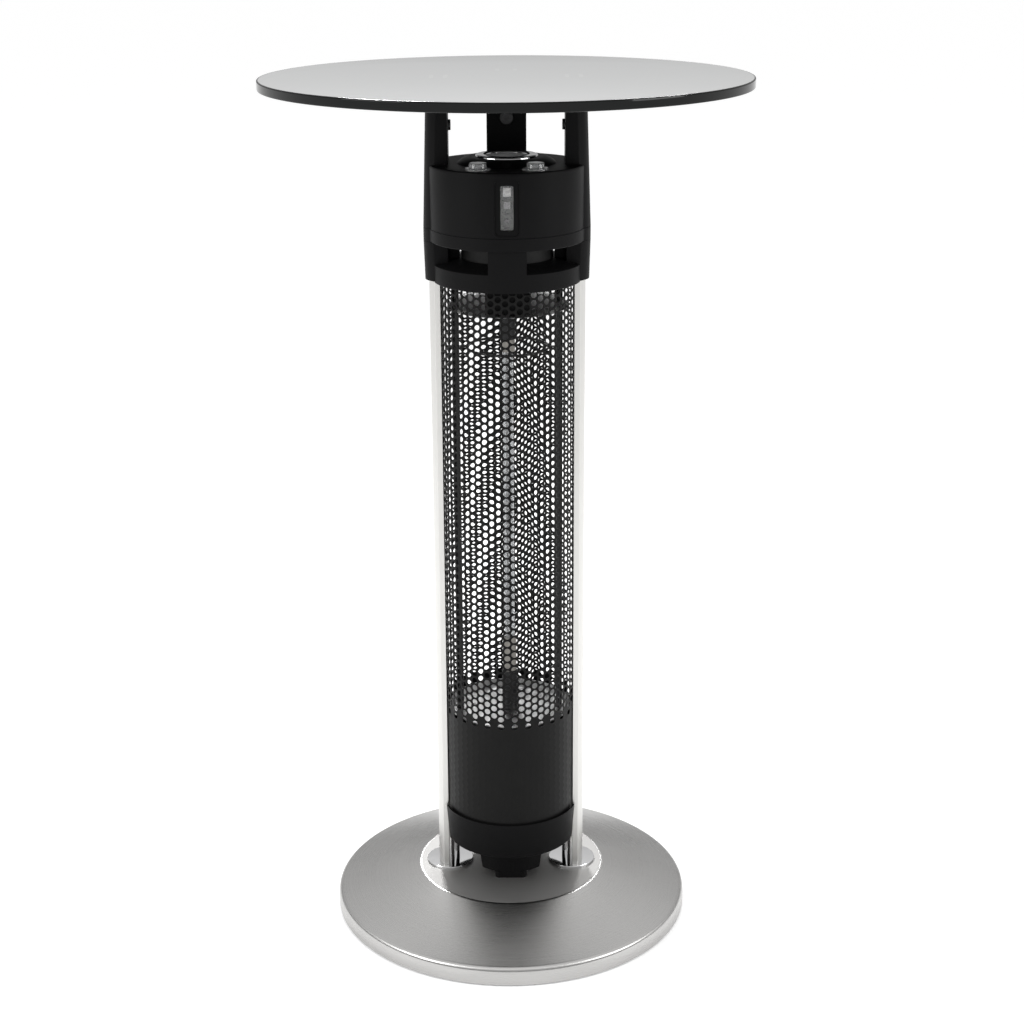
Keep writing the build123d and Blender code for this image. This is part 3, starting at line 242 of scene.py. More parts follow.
turned_steel = Finish(
    "turned_stainless", steel_colour, steel_roughness, {"Metallic": 1.0, "Anisotropic": 0.8}
)
x, y, z = turned_steel.parts(turned_steel.place)
from_axis = turned_steel.maths("SQRT", x * x + y * y)
lines = turned_steel.noise(0.35 * mm, 3.0, place=turned_steel.join(from_axis, z, 0.0))
clouds = turned_steel.noise(60 * mm, 3.0)
turned_steel.vary(
    lines * 0.7 + clouds * 0.3,
    (shade(steel_colour, 0.86), shade(steel_colour, 1.12)),
    (steel_roughness - 0.07, steel_roughness + 0.09),
)
turned_steel.relief(lines, 0.02 * mm, 0.35)

lined_steel = Finish("lined_stainless", steel_colour, steel_roughness, {"Metallic": 1.0})
lines = lined_steel.noise(0.3 * mm, 3.0, stretch=(160.0, 1.0, 1.0))
lined_steel.vary(
    lines,
    (shade(steel_colour, 0.72), shade(steel_colour, 1.0)),
    (steel_roughness + 0.2, steel_roughness + 0.36),
)
lined_steel.relief(lines, 0.03 * mm, 0.4)

inner_slope = (base_radius - crown_radius) * base_sheet / base_radius
base_outline = [
    (0, crown_height, 0),
    (crown_radius, crown_height, 2 * mm),
    (base_radius, shoulder_height, shoulder_ease),
    (base_radius, base_low.z, base_sheet / 3),
    (base_radius - base_sheet, base_low.z, base_sheet / 3),
    (base_radius - base_sheet, shoulder_height - base_sheet, shoulder_ease - base_sheet),
    (crown_radius - inner_slope, crown_height - base_sheet, 2 * mm),
    (0, crown_height - base_sheet, 0),
]
base_skin = made("base_skin", lathed(eased(base_outline), turns=256), turned_steel, lined_steel)
for face in base_skin.data.polygons:
    on_crown = face.normal.z > 0.999 and hypot(face.center.x, face.center.y) < crown_radius - 2 * mm
    face.material_index = int(on_crown)
stands_for(base_skin, "heater", "stainless", "base_cover")

# ------------------------------------------------- ballast, closing plate, feet
# A cast disc lies under the cover and is closed off by a thin plate. Six rubber
# feet are pushed into the plate.
iron = Finish("cast_iron", (0.05, 0.05, 0.052, 1), 0.7, {"Metallic": 0.6})
iron.relief(iron.noise(1.2 * mm, 4.0), 0.3 * mm, 0.5)
zinc = Finish("zinc_plated_steel", (0.5, 0.5, 0.5, 1), 0.38, {"Metallic": 1.0})
zinc.vary(zinc.noise(9 * mm, 3.0), ((0.42, 0.42, 0.43, 1), (0.58, 0.57, 0.56, 1)), (0.3, 0.46))
rubber = Finish("black_rubber", (0.02, 0.02, 0.02, 1), 0.75)
rubber.relief(rubber.noise(0.8 * mm, 2.0), 0.1 * mm, 0.3)
keep(iron, "ballast_disc")
keep(zinc, "spacer_tubes", "post_bolts")
keep(rubber, "rubber_feet")

plate_paint = Finish("black_plate_paint", (0.02, 0.02, 0.021, 1), 0.5)
plate_paint.relief(plate_paint.noise(0.5 * mm, 3.0), 0.05 * mm, 0.4)
keep(plate_paint, "closing_plate")

# ------------------------------------------------------ flanges and thin tubes
# Round flanges under the posts and short tubes under the cup, turned from steel
# and chrome plated. The flanges are clamped by the bolts of the posts.
flange_low, flange_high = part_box("post_flanges")
flange_radius = flange_high.y
flange_centre = flange_high.x - flange_radius
tube_low, tube_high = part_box("support_tubes")
tube_radius = tube_high.y
tube_centre = tube_high.x - tube_radius
tube_wall = 1.0 * mm

chrome = Finish("polished_chrome", (0.76, 0.76, 0.765, 1), 0.06, {"Metallic": 1.0})
chrome.vary(chrome.noise(14 * mm, 4.0), ((0.72, 0.72, 0.725, 1), (0.8, 0.8, 0.805, 1)), (0.03, 0.1))

flange_outline = [
    (0, flange_low.z, 0),
    (flange_radius, flange_low.z, 0.2 * mm),
    (flange_radius, flange_high.z, 1.0 * mm),
    (0, flange_high.z, 0),
]
tube_outline = [
    (tube_radius - tube_wall, tube_low.z, 0),
    (tube_radius, tube_low.z, 0),
    (tube_radius, tube_high.z, 0),
    (tube_radius - tube_wall, tube_high.z, 0),
]
flanges = bmesh.new()
tubes = bmesh.new()
for side in (-1, 1):
    lathed(eased(flange_outline), (side * flange_centre, 0), 96, flanges)
    lathed(eased(tube_outline), (side * tube_centre, 0), 40, tubes)
flange_pair = made("flange_pair", flanges, chrome)
stands_for(flange_pair, "heater", "chrome", "post_flanges")
tube_pair = made("tube_pair", tubes, chrome)
stands_for(tube_pair, "heater", "chrome", "support_tubes")

# ----------------------------------------------------------------------- posts
# Two hollow aluminium extrusions, satin anodised, with the faint lengthwise
# lines of the die. They stand on the flanges and are screwed from below and above.
post_edge = 0.5 * mm
aluminium_colour = (0.66, 0.655, 0.635, 1.0)


def settled(piece):
    """The piece with its modifiers worked out and taken off."""
    graph = bpy.context.evaluated_depsgraph_get()
    mesh = bpy.data.meshes.new_from_object(piece.evaluated_get(graph))
    mesh.name = piece.name
    piece.modifiers.clear()
    piece.data = mesh
    return piece


def softened(node, finish, ease, body="heater", slot="black_plastic"):
    """A CAD piece with its loose triangles merged and its edges rounded, shown in its place."""
    shape = bmesh.new()
    shape.from_mesh(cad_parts[node].data)
    bmesh.ops.remove_doubles(shape, verts=shape.verts, dist=1e-6)
    bmesh.ops.dissolve_limit(shape, angle_limit=radians(0.5), verts=shape.verts, edges=shape.edges)
    piece = made(node + "_finished", shape, finish)
    bevel = piece.modifiers.new("Edges", "BEVEL")
    bevel.width = ease
    bevel.segments = 2
    bevel.limit_method = "ANGLE"
    bevel.angle_limit = sharp_angle
    piece.modifiers.new("Normals", "WEIGHTED_NORMAL")
    settled(piece)
    stands_for(piece, body, slot, node)
    return piece


anodised = Finish("satin_anodised", aluminium_colour, 0.36, {"Metallic": 1.0})
die_lines = anodised.noise(0.5 * mm, 2.0, stretch=(1.0, 1.0, 400.0))
anodised.vary(
    die_lines * 0.6 + anodised.noise(40 * mm, 2.0) * 0.4,
    (shade(aluminium_colour, 0.9), shade(aluminium_colour, 1.06)),
    (0.3, 0.42),
)
anodised.relief(die_lines, 0.01 * mm, 0.3)
for node in ("post_left", "post_right"):
    softened(node, anodised, post_edge, slot="anodised")

# ------------------------------------------------ cup, terminal box, cable foot
# Black mouldings with a fine spark-eroded surface. The cup carries the guard, and
# the terminal box hangs under it from four screws, over the cable's foot.
plastic_colour = (0.0052, 0.0052, 0.0054, 1.0)


def moulded(name, colour, roughness, grain=0.45 * mm, strength=0.35):
    """A moulding's finish: a fine eroded grain, and gloss that varies a little."""
    finish = Finish(name, colour, roughness, {"Specular IOR Level": 0.06})
    clouds = finish.noise(45 * mm, 3.0)
    finish.vary(clouds, (shade(colour, 0.85), shade(colour, 1.2)), (roughness - 0.05, roughness + 0.06))
    finish.relief(finish.noise(grain, 2.0), 0.05 * mm, strength)
    return finish


satin_plastic = moulded("satin_black_plastic", plastic_colour, 0.36, strength=0.15)
grained_plastic = moulded("grained_black_plastic", plastic_colour, 0.46)
softened("bottom_cup", satin_plastic, 0.5 * mm)
softened("terminal_box", grained_plastic, 0.5 * mm)
softened("cable_foot", grained_plastic, 0.6 * mm)
keep(satin_plastic, "guard_seat")
pale_plastic = moulded("pale_terminal_plastic", (0.62, 0.6, 0.55, 1), 0.5)
keep(pale_plastic, "terminal_strip", "tip_switch")

# ----------------------------------------------------------------------- guard
# Steel sheet with staggered rows of punched holes, rolled to a tube and painted
# satin black. Its lower part is plain, and its lowest row has every other hole.
guard_low, guard_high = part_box("guard_tube")
guard_radius = guard_high.x
guard_sheet = 0.8 * mm
guard_columns = 60
guard_pitch = 10 * mm
guard_hole = 3.9 * mm
guard_turn = radians(-170)
first_row = 287 * mm
hole_sides = 12
column_step = 2 * pi * guard_radius / guard_columns
rows_below = 17
rows = rows_below + 57

guard_paint = Finish("satin_guard_paint", (0.006, 0.006, 0.006, 1), 0.4, {"Specular IOR Level": 0.1})
guard_paint.vary(
    guard_paint.noise(30 * mm), ((0.0045, 0.0045, 0.0045, 1), (0.008, 0.008, 0.0078, 1)), (0.34, 0.46)
)
guard_paint.relief(guard_paint.noise(1.5 * mm, 1.0), 0.05 * mm, 0.2)


def cell_outline(step, pitch, sides):
    """Points round one cell of the staggered pattern, at even angles from its middle."""
    bevel_out = (step * step + pitch * pitch / 4) / 2
    points = []
    for side in range(sides):
        angle = 2 * pi * side / sides
        across, up = abs(cos(angle)), abs(sin(angle))
        reach = bevel_out / (step * across + pitch / 2 * up)
        if up > 0:
            reach = min(reach, pitch / 2 / up)
        points.append((reach * cos(angle), reach * sin(angle)))
    return points


def cell_corners(step, pitch, sides):
    """The cell's outline, with the points nearest to its six corners moved onto them."""
    corner_x = (step * step - pitch * pitch / 4) / 2 / step
    tip_x = corner_x + pitch * pitch / 2 / step / 2
    corners = [(tip_x, 0), (corner_x, pitch / 2), (-corner_x, pitch / 2)]
    corners += [(-px, -py) for px, py in corners]
    points = cell_outline(step, pitch, sides)
    for corner in corners:
        nearest = min(range(sides), key=lambda i: hypot(points[i][0] - corner[0], points[i][1] - corner[1]))
        points[nearest] = corner
    return points


def cell(name, step, pitch, hole, sides):
    """One flat cell of the sheet, with its hole, or plain if the hole is 0."""
    shape = bmesh.new()
    outer = [shape.verts.new((px, py, 0)) for px, py in cell_corners(step, pitch, sides)]
    if hole:
        angles = [2 * pi * i / sides for i in range(sides)]
        inner = [shape.verts.new((hole * cos(angle), hole * sin(angle), 0)) for angle in angles]
        for i in range(sides):
            shape.faces.new((outer[i - 1], outer[i], inner[i], inner[i - 1]))
    else:
        shape.faces.new(outer)
    mesh = bpy.data.meshes.new(name)
    shape.to_mesh(mesh)
    shape.free()
    return bpy.data.objects.new(name, mesh)


class Recipe(Tree):
    """A Geometry Nodes tree with named inputs, which ends in Realize Instances and Set Material."""

    def __init__(self, name, inputs):
        super().__init__(bpy.data.node_groups.new(name, "GeometryNodeTree"))
        self.group.interface.new_socket("Geometry", in_out="OUTPUT", socket_type="NodeSocketGeometry")
        self.keys = {}
        for label, kind in inputs.items():
            socket = self.group.interface.new_socket(label, in_out="INPUT", socket_type="NodeSocket" + kind)
            self.keys[label] = socket.identifier
        entry = self.group.nodes.new("NodeGroupInput")
        self.inputs = {label: Value(self, entry.outputs[label]) for label in inputs}

    def end(self, geometry):
        realized = self.node("GeometryNodeRealizeInstances", None, {"Geometry": geometry})
        finished = self.node(
            "GeometryNodeSetMaterial", None, {"Geometry": realized, "Material": self.inputs["Material"]}
        )
        leave = self.group.nodes.new("NodeGroupOutput")
        self.fill(leave, {"Geometry": finished})

    def grow(self, name, values):
        """A plain mesh piece from this recipe with these values of its inputs."""
        piece = bpy.data.objects.new(name, bpy.data.meshes.new(name))
        bpy.context.scene.collection.objects.link(piece)
        modifier = piece.modifiers.new("Recipe", "NODES")
        modifier.node_group = self.group
        for label, value in values.items():
            modifier[self.keys[label]] = value
        return settled(piece)


punched = Recipe(
    "punched_sheet",
    {
        "Holed cell": "Object",
        "Plain cell": "Object",
        "Columns": "Int",
        "Rows": "Int",
        "First column": "Int",
        "Plain rows": "Int",
        "Column step": "Float",
        "Pitch": "Float",
        "Bottom": "Float",
        "Radius": "Float",
        "Turn": "Float",
        "Material": "Material",
    },
)
given = punched.inputs
index = punched.node("GeometryNodeInputIndex")
row = punched.maths("FLOOR", index / given["Columns"])
column = index % given["Columns"] + given["First column"]
odd = column % 2
cell_place = punched.join(
    column * given["Column step"], given["Bottom"] + (row + odd * 0.5) * given["Pitch"], 0.0
)
cells = punched.node(
    "GeometryNodePoints", None, {"Count": given["Columns"] * given["Rows"], "Position": cell_place}
)
is_holed = (row + 1 - odd) > given["Plain rows"]
sheet = punched.node("GeometryNodeJoinGeometry")
for label, chosen in (("Holed cell", is_holed), ("Plain cell", 1 - is_holed)):
    tile = punched.node("GeometryNodeObjectInfo", None, {"Object": given[label]}, output="Geometry")
    punched.fill(
        sheet.socket.node,
        {
            0: punched.node(
                "GeometryNodeInstanceOnPoints", None, {"Points": cells, "Selection": chosen, "Instance": tile}
            )
        },
    )
flat = punched.node("GeometryNodeRealizeInstances", None, {"Geometry": sheet})
welded = punched.node("GeometryNodeMergeByDistance", None, {"Geometry": flat, "Distance": 0.02 * mm})
x, y, z = punched.parts(punched.node("GeometryNodeInputPosition"))
angle = x / given["Radius"] + given["Turn"]
rolled_place = punched.join(
    punched.maths("COSINE", angle) * given["Radius"], punched.maths("SINE", angle) * given["Radius"], y
)
punched.end(punched.node("GeometryNodeSetPosition", None, {"Geometry": welded, "Position": rolled_place}))


def walled(piece, thickness, inwards=True):
    """The sheet given its thickness, on its inside, and smooth but for its edges."""
    wall = piece.modifiers.new("Wall", "SOLIDIFY")
    wall.thickness = thickness
    wall.offset = -1 if inwards else 1
    settled(piece)
    piece.data.shade_smooth()
    piece.data.set_sharp_from_angle(angle=sharp_angle)


holed_cell = cell("holed_cell", column_step, guard_pitch, guard_hole, hole_sides)
plain_cell = cell("plain_cell", column_step, guard_pitch, 0, hole_sides)
for name, first_column in (("guard_front", 0), ("guard_back", guard_columns // 2)):
    half = punched.grow(
        name,
        {
            "Holed cell": holed_cell,
            "Plain cell": plain_cell,
            "Columns": guard_columns // 2,
            "Rows": rows,
            "First column": first_column,
            "Plain rows": rows_below,
            "Column step": column_step,
            "Pitch": guard_pitch,
            "Bottom": first_row - rows_below * guard_pitch,
            "Radius": guard_radius,
            "Turn": guard_turn,
            "Material": guard_paint.material,
        },
    )
    trimmed = bmesh.new()
    trimmed.from_mesh(half.data)
    for height, direction in ((guard_low.z, -1), (guard_high.z, 1)):
        bmesh.ops.bisect_plane(
            trimmed,
            geom=[*trimmed.verts, *trimmed.edges, *trimmed.faces],
            plane_co=(0, 0, height),
            plane_no=(0, 0, direction),
            clear_outer=True,
        )
    trimmed.to_mesh(half.data)
    trimmed.free()
    walled(half, guard_sheet)
    stands_for(half, "heater", "guard_paint", "guard_tube")

# ------------------------------------------------------- reflectors and the lamp
# Bright rolled discs close the heated length above and below. The quartz lamp has
# a coiled filament and ceramic ends, on steel holders, inside a wire hoop.
coil_low, coil_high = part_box("lamp_coil")
coil_radius = coil_high.x
coil_wire = 0.8 * mm
coil_turns = 110

bright = Finish("bright_rolled_steel", (0.62, 0.62, 0.62, 1), 0.3, {"Metallic": 1.0})
bright.vary(bright.noise(25 * mm, 4.0), ((0.5, 0.5, 0.5, 1), (0.7, 0.7, 0.7, 1)), (0.2, 0.4))
keep(bright, "lower_reflector", "upper_reflector")

quartz = Finish("quartz_glass", (0.9, 0.92, 0.93, 1), 0.04, {"IOR": 1.46, "Transmission Weight": 0.85})
quartz.vary(quartz.noise(12 * mm, 2.0), ((0.82, 0.84, 0.85, 1), (0.94, 0.95, 0.96, 1)), (0.02, 0.1))
keep(quartz, "lamp_tube")
ceramic = moulded("lamp_ceramic", (0.42, 0.4, 0.37, 1), 0.55)
keep(ceramic, "lamp_caps")
dark_steel = Finish("dark_steel", (0.045, 0.045, 0.046, 1), 0.42, {"Metallic": 0.7})
dark_steel.vary(dark_steel.noise(8 * mm), ((0.035, 0.035, 0.035, 1), (0.06, 0.06, 0.062, 1)), (0.34, 0.5))
keep(dark_steel, "lamp_holders", "wiring_rods", "lamp_hoop")

filament = Finish("filament_metal", (0.3, 0.27, 0.25, 1), 0.35, {"Metallic": 1.0})
filament.vary(filament.noise(10 * mm), ((0.22, 0.2, 0.19, 1), (0.36, 0.33, 0.31, 1)), (0.28, 0.42))
coiled = Recipe(
    "coiled_wire",
    {
        "Turns": "Float",
        "Radius": "Float",
        "Height": "Float",
        "Bottom": "Float",
        "Wire radius": "Float",
        "Material": "Material",
    },
)
given = coiled.inputs
spiral = coiled.node(
    "GeometryNodeCurveSpiral",
    None,
    {
        "Resolution": 14,
        "Rotations": given["Turns"],
        "Start Radius": given["Radius"],
        "End Radius": given["Radius"],
        "Height": given["Height"],
    },
)
wire = coiled.node(
    "GeometryNodeCurvePrimitiveCircle", {"mode": "RADIUS"}, {"Resolution": 6, "Radius": given["Wire radius"]}
)
turns = coiled.node(
    "GeometryNodeCurveToMesh", None, {"Curve": spiral, "Profile Curve": wire, "Fill Caps": True}
)
lift_up = coiled.join(0.0, 0.0, given["Bottom"])
coiled.end(coiled.node("GeometryNodeTransform", None, {"Geometry": turns, "Translation": lift_up}))
coil = coiled.grow(
    "filament_coil",
    {
        "Turns": coil_turns,
        "Radius": coil_radius - coil_wire,
        "Height": coil_high.z - coil_low.z,
        "Bottom": coil_low.z,
        "Wire radius": coil_wire,
        "Material": filament.material,
    },
)
coil.data.shade_smooth()
stands_for(coil, "heater", "coil", "lamp_coil")

# ----------------------------------------- lower housing, heat shield, middle ring
# The black mouldings under the drum: an open ring with a sloping deck and column
# feet over the posts, a steel shield inside the vent, coloured near-black as painted
# shade of the vent, and the ring above it.
softened("lower_housing", grained_plastic, 0.7 * mm)
softened("middle_ring", grained_plastic, 0.6 * mm)
# The shield's near-black colour is painted shade for the dim inside of the vent, not the steel's own colour.
shield_steel = Finish("shield_steel", (0.03, 0.03, 0.03, 1), 0.6, {"Metallic": 1.0})
shield_steel.vary(
    shield_steel.noise(18 * mm, 4.0), ((0.02, 0.02, 0.02, 1), (0.045, 0.045, 0.045, 1)), (0.52, 0.66)
)
keep(shield_steel, "heat_shield")
keep(dark_steel, "post_screws", "housing_screws")

# ------------------------------------------------------------------------- drum
# The moulded drum with the controls on its deck. It is screwed to the middle ring
# from below, and the deck's hole is covered by the control dome.
softened("drum_housing", grained_plastic, 0.5 * mm)
dome_plastic = moulded("dome_black_plastic", shade(plastic_colour, 0.7), 0.4, strength=0.2)
softened("control_dome", dome_plastic, 0.3 * mm)

# ------------------------------------------------------ arms and their fixings
# Three moulded arms carry the glass on folded steel brackets. Each is held by a
# black socket screw on a washer, seen on its inner face.
arm_nodes = ("arm_left", "arm_back", "arm_right")
for node in arm_nodes:
    softened(node, grained_plastic, 0.6 * mm)
softened("glass_brackets", dark_steel, 0.3 * mm, slot="black_steel")
softened("arm_washers", dark_steel, 0.2 * mm, slot="black_steel")

screw_low, screw_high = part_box("arm_screws")
head_radius = 6.6 * mm
head_height = 3.0 * mm
socket_apothem = 2.3 * mm
socket_depth = 2.0 * mm
screw_height = (screw_low.z + screw_high.z) / 2
screw_seat = 71.0 * mm
head_points = 24


def socket_reach(angle):
    """How far the six-sided socket reaches at that angle."""
    return socket_apothem / cos(angle % (pi / 3) - pi / 6)


def screw_head(name):
    """Socket screw's head with its axis along X, its seat at the origin and its socket facing -X."""
    rings = (
        (lambda a: 3.0 * mm, 14 * mm),
        (lambda a: 3.0 * mm, 0.0),
        (lambda a: head_radius, 0.0),
        (lambda a: head_radius, -head_height + 0.5 * mm),
        (lambda a: head_radius - 0.5 * mm, -head_height),
        (lambda a: socket_reach(a) + 0.2 * mm, -head_height),
        (socket_reach, -head_height + 0.2 * mm),
        (socket_reach, -head_height + socket_depth),
    )
    shape = bmesh.new()
    rims = []
    for reach, out in rings:
        angles = [2 * pi * i / head_points for i in range(head_points)]
        rims.append([shape.verts.new((out, reach(a) * cos(a), reach(a) * sin(a))) for a in angles])
    for lower, upper in zip(rims, rims[1:]):
        for i in range(head_points):
            shape.faces.new((lower[i - 1], lower[i], upper[i], upper[i - 1]))
    shape.faces.new(rims[0])
    shape.faces.new(rims[-1])
    bmesh.ops.recalc_face_normals(shape, faces=shape.faces)
    mesh = bpy.data.meshes.new(name)
    shape.to_mesh(mesh)
    shape.free()
    return bpy.data.objects.new(name, mesh)


ringed = Recipe(
    "fixings_round_axis",
    {
        "Fixing": "Object",
        "Count": "Int",
        "Angle step": "Float",
        "Radius": "Float",
        "Height": "Float",
        "Material": "Material",
    },
)
given = ringed.inputs
turn = ringed.node("GeometryNodeInputIndex") * given["Angle step"]
fixing_place = ringed.join(
    ringed.maths("COSINE", turn) * given["Radius"],
    ringed.maths("SINE", turn) * given["Radius"],
    given["Height"],
)
places = ringed.node("GeometryNodePoints", None, {"Count": given["Count"], "Position": fixing_place})
fixing = ringed.node("GeometryNodeObjectInfo", None, {"Object": given["Fixing"]}, output="Geometry")
facing = ringed.node("FunctionNodeEulerToRotation", None, {0: ringed.join(0.0, 0.0, turn)})
ringed.end(
    ringed.node(
        "GeometryNodeInstanceOnPoints", None, {"Points": places, "Instance": fixing, "Rotation": facing}
    )
)
screws = ringed.grow(
    "arm_screw_set",
    {
        "Fixing": screw_head("socket_screw"),
        "Count": len(arm_nodes),
        "Angle step": pi / 2,
        "Radius": screw_seat,
        "Height": screw_height,
        "Material": dark_steel.material,
    },
)
screws.data.set_sharp_from_angle(angle=sharp_angle)
stands_for(screws, "heater", "black_steel", "arm_screws")

# -------------------------------------------------------- glass top and its pads
# Tempered glass tinted dark, with a rounded, polished edge that looks black. Its top
# face is given a pale grey base colour as a painted reflection of the bright studio, so
# the glass is drawn opaque. It rests on pale silicone strips, which show faintly through it.
glass_low, glass_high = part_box("glass_top")
pads_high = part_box("glass_pads")[1]
glass_radius = glass_high.x
glass_ease = 1.6 * mm
edge_band = 2.0 * mm
pad_width = 5 * mm
side_pad_spread = 8.5 * mm
back_pad_spread = 11 * mm
side_pad_middle = pads_high.x - 13.5 * mm
back_pad_middle = pads_high.y - 12.5 * mm
# The pale grey of the top face is painted reflection of the bright studio; the glass itself is dark.
painted_reflection_grey = (0.66, 0.665, 0.665, 1.0)
strip_grey = (0.76, 0.76, 0.755, 1.0)
edge_black = (0.004, 0.0045, 0.0045, 1.0)

silicone = Finish("pale_silicone", (0.7, 0.7, 0.68, 1), 0.55, {"Subsurface Weight": 0.1})
silicone.vary(silicone.noise(4 * mm), ((0.64, 0.64, 0.62, 1), (0.74, 0.74, 0.72, 1)), (0.5, 0.62))
keep(silicone, "glass_pads")

tinted = Finish("tinted_glass", painted_reflection_grey, 0.03, {"IOR": 1.52, "Specular IOR Level": 0.04})
x, y, z = tinted.parts(tinted.place)
from_axis = tinted.maths("SQRT", x * x + y * y)


def strip(finish, across, along, middle, spread, half_length):
    """1 on the two strips either side of a middle, and 0 elsewhere."""
    off_middle = finish.maths("ABSOLUTE", finish.maths("ABSOLUTE", across - middle) - spread)
    return (off_middle < pad_width / 2) * (finish.maths("ABSOLUTE", along) < half_length)


strips = strip(tinted, tinted.maths("ABSOLUTE", x), y, side_pad_middle, side_pad_spread, pads_high.y / 5)
strips = strips + strip(tinted, x, y - back_pad_middle, 0.0, back_pad_spread, 12.5 * mm)
top_band = 0.4 * mm
edge_coat = 0.35
# The top face inside the edge band gets the painted reflection colour and no coat; the edge and underside
# stay near-black under a thin coat.
painted_reflection_face = z > glass_high.z - top_band
rim = from_axis > glass_radius - edge_band
smears = tinted.noise(90 * mm, 3.0)
painted_reflection_tint = tinted.mix(smears * 0.25, painted_reflection_grey, shade(painted_reflection_grey, 0.93))
painted_reflection_tint = tinted.mix(strips * 0.3, painted_reflection_tint, strip_grey)
tinted.fill(
    tinted.shader,
    {
        "Base Color": tinted.mix(painted_reflection_face * (1 - rim), edge_black, painted_reflection_tint),
        "Coat Weight": (1 - painted_reflection_face * (1 - rim)) * edge_coat,
        "Roughness": smears * 0.03 + 0.015,
    },
)
glass_outline = [
    (0, glass_low.z, 0),
    (glass_radius, glass_low.z, glass_ease),
    (glass_radius, glass_high.z, glass_ease),
    (0, glass_high.z, 0),
]
glass = made("glass_table_top", lathed(eased(glass_outline, 8), turns=320), tinted)
stands_for(glass, "heater", "smoked_glass", "glass_top")

# ---------------------------------------------------------------- front window
# A recessed black frame with a clear lens. Behind it stands the display board,
# with its crystal can, grey indicator, chips and the remote control's receiver.
frame_gloss = moulded("window_black_plastic", shade(plastic_colour, 0.8), 0.32, strength=0.1)
softened("window_frame", frame_gloss, 0.3 * mm)
lens_clear = Finish(
    "clear_lens", (0.95, 0.95, 0.95, 1), 0.05, {"Transmission Weight": 0.95, "IOR": 1.49, "Alpha": 0.55}
)
lens_clear.vary(lens_clear.noise(6 * mm), ((0.88, 0.88, 0.88, 1), (0.97, 0.97, 0.97, 1)), (0.03, 0.12))
softened("window_lens", lens_clear, 0.2 * mm, slot="clear_plastic")

board_mask = Finish("display_board_parts", (0.02, 0.03, 0.022, 1), 0.45)
x, y, z = board_mask.parts(board_mask.place)
board_sheet = 1.6 * mm
board_margin = 0.3 * mm
can_bottom = 16 * mm
indicator_top = 18 * mm
indicator_bottom = 30 * mm
in_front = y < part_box("display_board")[1].y - board_sheet - board_margin
below_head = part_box("window_lens")[1].z - z
can = in_front * (below_head < can_bottom)
indicator = in_front * (below_head < indicator_bottom) * (below_head > indicator_top)
chip = in_front - can - indicator
mottle = board_mask.noise(2.5 * mm, 3.0)
tone = board_mask.mix(mottle, (0.01, 0.016, 0.012, 1), (0.11, 0.12, 0.11, 1))
can_tone = board_mask.mix(mottle, (0.1, 0.1, 0.1, 1), (0.75, 0.75, 0.74, 1))
indicator_tone = board_mask.mix(mottle, (0.08, 0.08, 0.08, 1), (0.42, 0.42, 0.42, 1))
tone = board_mask.mix(can, tone, can_tone)
tone = board_mask.mix(indicator, tone, indicator_tone)
tone = board_mask.mix(chip, tone, (0.015, 0.015, 0.016, 1))
board_mask.fill(board_mask.shader, {"Base Color": tone, "Metallic": can * 0.9, "Roughness": 0.5 - can * 0.2})
keep(board_mask, "display_board")
receiver_black = Finish("receiver_dome_plastic", (0.03, 0.022, 0.03, 1), 0.12, {"Coat Weight": 1.0})
receiver_black.vary(
    receiver_black.noise(3 * mm), ((0.02, 0.015, 0.02, 1), (0.05, 0.04, 0.05, 1)), (0.08, 0.18)
)
keep(receiver_black, "receiver_dome")
board_green = Finish("circuit_board", (0.02, 0.06, 0.03, 1), 0.4)
board_green.vary(board_green.noise(4 * mm), ((0.015, 0.045, 0.02, 1), (0.03, 0.08, 0.04, 1)), (0.32, 0.5))
keep(board_green, "control_board")

# --------------------------------------------------------------------- speaker
# A chromed trim ring with a domed mesh of grey steel over the speaker's cone. The
# cone hangs in its basket from a rubber surround.
trim_low, trim_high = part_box("speaker_trim")
grille_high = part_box("speaker_grille")[1]
trim_outer = trim_high.x
trim_inner = 26 * mm
trim_lip_inner = 24.5 * mm
trim_hole = 29.9 * mm
trim_seat = trim_low.z + 1.2 * mm
trim_arc = 16
trim_points = [(trim_lip_inner, trim_low.z), (trim_hole, trim_low.z), (trim_hole, trim_seat)]
trim_middle = (trim_outer + trim_inner) / 2
for i in range(trim_arc + 1):
    angle = pi * i / trim_arc
    trim_points.append(
        (
            trim_middle + (trim_outer - trim_inner) / 2 * cos(angle),
            trim_seat + (trim_high.z - trim_seat) * sqrt(sin(angle)),
        )
    )
trim_points.append((trim_lip_inner, trim_seat))
trim = made("speaker_trim_ring", lathed(trim_points, turns=160), chrome)
stands_for(trim, "heater", "chrome", "speaker_trim")

grille_grey = Finish("grey_grille_paint", (0.72, 0.72, 0.725, 1), 0.4, {"Metallic": 0.3})
grille_grey.vary(grille_grey.noise(10 * mm), ((0.66, 0.66, 0.665, 1), (0.78, 0.78, 0.785, 1)), (0.34, 0.46))
grille_radius = grille_high.x
grille_step = 1.8 * mm
grille_pitch = 2.08 * mm
grille_hole = 0.6 * mm
grille_sides = 6
grille_rows = 27
domed = Recipe(
    "domed_mesh",
    {
        "Holed cell": "Object",
        "Columns": "Int",
        "Column step": "Float",
        "Pitch": "Float",
        "Radius": "Float",
        "Rise": "Float",
        "Height": "Float",
        "Material": "Material",
    },
)
given = domed.inputs
index = domed.node("GeometryNodeInputIndex")
column = index % given["Columns"] - domed.maths("FLOOR", given["Columns"] / 2)
row = domed.maths("FLOOR", index / given["Columns"]) - domed.maths("FLOOR", given["Columns"] / 2)
odd = domed.maths("ABSOLUTE", column % 2)
across = column * given["Column step"]
along = (row + odd * 0.5) * given["Pitch"]
inside = domed.maths("SQRT", across * across + along * along) < given["Radius"]
